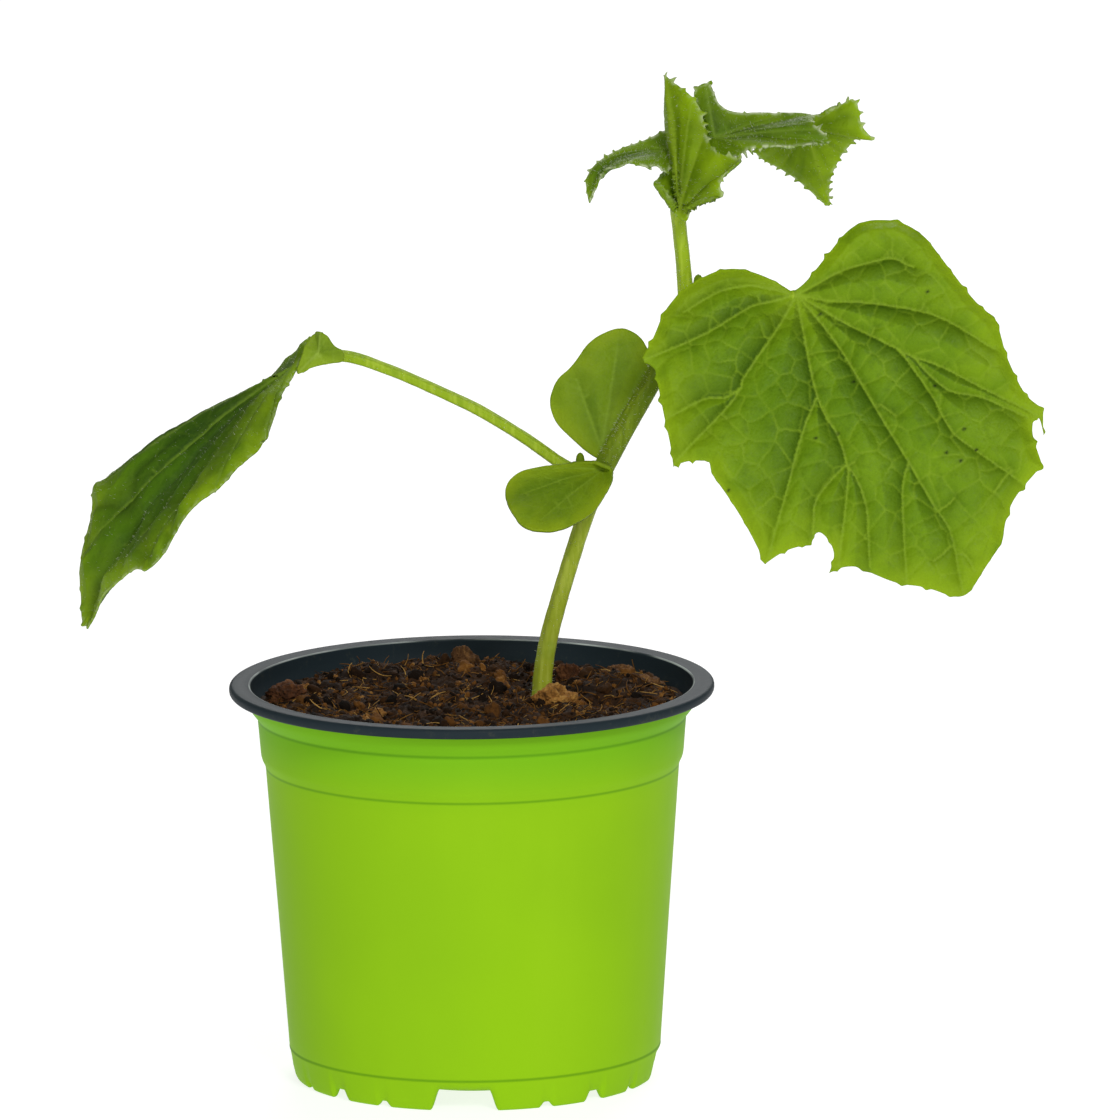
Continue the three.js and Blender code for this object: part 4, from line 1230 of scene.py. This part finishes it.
# %% The scattering tree
def make_scatter_tree():
    tree = bpy.data.node_groups.new("scatter", "GeometryNodeTree")
    for name, kind in (("Ground", "Geometry"), ("Shapes", "Collection"), ("Density", "Float"),
                       ("Smallest", "Float"), ("Largest", "Float"), ("Lean", "Float"), ("Seed", "Int"),
                       ("Finish", "Material")):
        tree.interface.new_socket(name, in_out="INPUT", socket_type="NodeSocket" + kind)
    tree.interface.new_socket("Pieces", in_out="OUTPUT", socket_type="NodeSocketGeometry")
    g = Graph(tree)
    given = g.node("NodeGroupInput")
    spread = g.node("GeometryNodeDistributePointsOnFaces", None, {
        "Mesh": given.output("Ground"), "Density": given.output("Density"), "Seed": given.output("Seed")})
    size = g.node("FunctionNodeRandomValue", None, {
        2: given.output("Smallest"), 3: given.output("Largest"), 8: given.output("Seed")}, output=1)
    lean = given.output("Lean")
    turn = g.node("FunctionNodeRandomValue", {"data_type": "FLOAT_VECTOR"}, {
        0: g.node("ShaderNodeCombineXYZ", None, [lean * -1.0, lean * -1.0, 0.0]),
        1: g.node("ShaderNodeCombineXYZ", None, [lean, lean, 2 * math.pi]), 8: given.output("Seed")})
    turned = g.node("FunctionNodeRotateRotation", {"rotation_space": "LOCAL"}, {
        0: spread.output("Rotation"), 1: g.node("FunctionNodeEulerToRotation", None, [turn])})
    shapes = g.node("GeometryNodeCollectionInfo", None, {
        "Collection": given.output("Shapes"), "Separate Children": True, "Reset Children": True})
    placed = g.node("GeometryNodeInstanceOnPoints", None, {
        "Points": spread, "Instance": shapes, "Pick Instance": True, "Rotation": turned, "Scale": size})
    tint = g.node("FunctionNodeRandomValue", None, {8: given.output("Seed") + 1.0}, output=1)
    tinted = g.node("GeometryNodeStoreNamedAttribute", {"domain": "INSTANCE"}, {
        "Geometry": placed, "Name": "tint", "Value": tint})
    whole = g.node("GeometryNodeRealizeInstances", None, [tinted])
    finished = g.node("GeometryNodeSetMaterial", None, {
        "Geometry": whole, "Material": given.output("Finish")})
    g.node("NodeGroupOutput", None, [finished])
    return tree


SCATTER = make_scatter_tree()


def scatter(name, ground_mesh, shapes, finish, slot, **inputs):
    """A new piece of many small shapes thrown on a surface."""
    carrier = bpy.data.objects.new(name + "_carrier", ground_mesh)
    bpy.context.scene.collection.objects.link(carrier)
    modifier = carrier.modifiers.new("scatter", "NODES")
    modifier.node_group = SCATTER
    keys = {item.name: item.identifier for item in SCATTER.interface.items_tree if item.in_out == "INPUT"}
    for key, value in {"Shapes": shapes, "Finish": finish, **inputs}.items():
        modifier[keys[key]] = value
    carrier.update_tag()
    evaluated = carrier.evaluated_get(bpy.context.evaluated_depsgraph_get())
    mesh = bpy.data.meshes.new_from_object(evaluated)
    mesh.name = name
    bpy.data.objects.remove(carrier)
    piece = bpy.data.objects.new(name, mesh)
    bpy.context.scene.collection.objects.link(piece)
    stand_for(piece, slot)
    return piece


def shape_kit(name, meshes):
    """A collection of small shapes that is never shown itself."""
    kit = bpy.data.collections.new(name)
    for k, (points, faces) in enumerate(meshes):
        mesh = new_mesh(f"{name}_{k}", points, faces)
        mesh.shade_smooth()
        kit.objects.link(bpy.data.objects.new(f"{name}_{k}", mesh))
    return kit


# %% Small shapes
def rough_ball(divisions, rough, seed, squash=(1, 0.8, 0.65)):
    """An irregular crumb about one millimetre across."""
    points, faces = even_ball(divisions, 0.5)
    swell = 1 + rough * (noise(points, 0.35, seed) + 0.5 * noise(points, 0.15, seed + 1))
    return points * swell[:, None] * squash, faces


def strand(length, thick, bend, seed, parts=7):
    """A fibre that lies along its ground and bends, three-sided."""
    random = np.random.default_rng(seed)
    along = np.linspace(-0.5, 0.5, parts)
    bow = bend * length * (along ** 2 * 2 - 0.2)
    path = np.stack([along * length, bow + random.uniform(-0.1, 0.1, parts),
                     0.25 + 0.1 * length * (0.25 - along ** 2) * random.uniform(0.2, 1.5)], axis=1)
    sides = np.array([0, 2.1, 4.2])
    loops = [path[:1]]
    for k, point in enumerate(path):
        half = thick / 2 * (1 - 0.6 * abs(along[k]) * 1.6)
        loops.append(point + half * np.stack([0 * sides, np.cos(sides), np.sin(sides)], axis=1))
    loops.append(path[-1:])
    return np.vstack(loops), stitch(loops)[0]


def bristle(length, thick):
    """A hair: a long thin cone that leans a little."""
    turn = np.array([0, 2.1, 4.2])
    foot = np.stack([thick / 2 * np.cos(turn), thick / 2 * np.sin(turn), np.full(3, -0.1)], axis=1)
    waist = foot * (0.6, 0.6, 0) + (0, 0, length * 0.5)
    loops = [as_array([[0, 0, -0.1]]), foot, waist, as_array([[length * 0.15, 0, length]])]
    return np.vstack(loops), stitch(loops)[0]


SMALL_CRUMBS = shape_kit("small_crumb", [rough_ball(2, 0.45, k * 5) for k in range(6)])
LARGE_CRUMBS = shape_kit("large_crumb", [rough_ball(3, 0.4, 40 + k * 5, (1, 0.75, 0.6)) for k in range(5)])
FIBRES = shape_kit("fibre", [strand(2 + 1.1 * k, 0.24 + 0.03 * k, (-1) ** k * 0.35, k) for k in range(6)])
HAIRS = shape_kit("hair", [bristle(0.8 + 0.2 * k, 0.09) for k in range(3)])


# %% Crumbs and fibres on the soil
def tinted(name, stops, bump=0.0004):
    """A finish whose colour differs from one small shape to the next."""
    s = Shader(name)
    tone = s.attribute("tint") * 0.75 + s.noise(700, 4, roughness=0.7) * 0.35
    shade = s.node("ShaderNodeValToRGB", {"stops": [(at, colour(text)) for at, text in stops]}, [tone])
    normal = s.bump(s.noise(1800, 3), bump)
    return s.finish(s.principled(Base_Color=shade, Roughness=0.95, Normal=normal,
                                 Specular_IOR_Level=0.15))


CRUMB = tinted("crumbs", [(0.15, "0A0603"), (0.45, "1F1207"), (0.7, "43290F"), (0.9, "70481C"),
                          (1.05, "B0864A")])
FIBRE = tinted("fibres", [(0.1, "201004"), (0.45, "4A2C0C"), (0.75, "7C5420"), (1.0, "BE9650")], bump=0.0001)


def ground_patch(reach, step=1.4):
    """The soil's surface within a distance of the pot's axis, as a mesh to throw things on."""
    flat = even_grid((-reach, -reach), (reach, reach), step)
    flat = flat[np.hypot(flat[:, 0], flat[:, 1]) < reach]
    flat, _, faces, *_ = delaunay_2d_cdt([Vector(p) for p in flat], [], [], 0, 1e-5, False)
    flat = as_array([tuple(p) for p in flat])
    return new_mesh("soil_patch", np.column_stack([flat, soil_height(flat)]), faces)


wide_patch, inner_patch = ground_patch(51.2), ground_patch(49.5)
scatter("small_crumbs", wide_patch, SMALL_CRUMBS, CRUMB, "soil",
        Density=2.6e5, Smallest=0.5, Largest=1.9, Lean=3.1, Seed=3)
scatter("large_crumbs", inner_patch, LARGE_CRUMBS, CRUMB, "soil",
        Density=1.6e4, Smallest=2.0, Largest=5.0, Lean=1.2, Seed=5)
scatter("peat_fibres", inner_patch, FIBRES, FIBRE, "coir",
        Density=2.2e5, Smallest=0.4, Largest=1.1, Lean=0.6, Seed=8)


# %% Down on the stems and the young leaves
def make_down():
    s = Shader("white_down")
    return s.finish(s.principled(Base_Color=colour("DDE5C4"), Roughness=0.6, Specular_IOR_Level=0.3))


DOWN = make_down()
for k, (stalk, density) in enumerate(zip(stalks, (3e5, 1.0e6, 8e5, 3.5e5, 3.5e5))):
    scatter(stalk.name + "_hairs", stalk.data, HAIRS, DOWN, "stem",
            Density=density, Smallest=0.5, Largest=1.0, Lean=0.5, Seed=20 + k)
for k, (leaf, density) in enumerate(zip(young_leaves, (6e5, 1.4e6, 4e5, 1.6e6))):
    scatter(leaf.name + "_hairs", leaf.data, HAIRS, DOWN, "young_leaf",
            Density=density, Smallest=0.35, Largest=0.8, Lean=0.6, Seed=40 + k)
scatter("hanging_leaf_hairs", hanging_leaf.data, HAIRS, DOWN, "leaf",
        Density=2.0e5, Smallest=0.35, Largest=0.8, Lean=0.6, Seed=60)

# %% [markdown]
# ## Light and ground
#
# The plant stands on a white ground in even, bright light, with a stronger light from behind
# that shines through the leaves. Large area lights keep every shadow soft.

# %% Ground and lights
def make_ground():
    s = Shader("white_ground")
    return s.finish(s.principled(Base_Color=(0.3, 0.3, 0.3, 1), Roughness=0.9, Emission_Color=(1, 1, 1, 1),
                                 Emission_Strength=0.8))


bpy.ops.mesh.primitive_plane_add(size=12, location=(0, 0, 0))
ground = bpy.context.object
ground.name = "ground"
ground.data.materials.append(make_ground())

world = bpy.data.worlds.new("studio")
bpy.context.scene.world = world
world.use_nodes = True
world.node_tree.nodes["Background"].inputs["Color"].default_value = (1, 1, 1, 1)
world.node_tree.nodes["Background"].inputs["Strength"].default_value = 0.26
bpy.context.scene.view_settings.view_transform = "Standard"


def area_light(name, place, target, size, power, tint=(1, 1, 1)):
    data = bpy.data.lights.new(name, "AREA")
    data.shape, data.size, data.energy, data.color = "SQUARE", size, power, tint
    light = bpy.data.objects.new(name, data)
    light.location = place
    light.rotation_euler = (Vector(target) - Vector(place)).to_track_quat("-Z", "Y").to_euler()
    bpy.context.scene.collection.objects.link(light)


area_light("key", (0.5, -1.6, 1.2), (0.02, 0, 0.12), 0.5, 19)
area_light("fill", (-0.7, -1.5, 0.5), (0.02, 0, 0.1), 0.8, 5.5)
area_light("behind", (0.2, 1.4, 1.1), (0.03, 0, 0.16), 1.0, 16)

# %% [markdown]
# ## Hand over
# The nodes that stay as they are get a finish.

# %% Finish
def make_root_finish():
    s = Shader("root_cream")
    shade = s.blend(s.span(s.noise(400, 3), 0.4, 0.7), colour("CFC29A"), colour("E6DDC0"))
    return s.finish(s.principled(Base_Color=shade, Roughness=0.7, Normal=s.bump(s.noise(1500, 3), 0.0001)))


ROOT = make_root_finish()
for name, finish in (("roots", ROOT), ("bud_lower", YOUNG), ("bud_upper", YOUNG)):
    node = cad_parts[name]
    for spot in node.material_slots:
        spot.material = finish
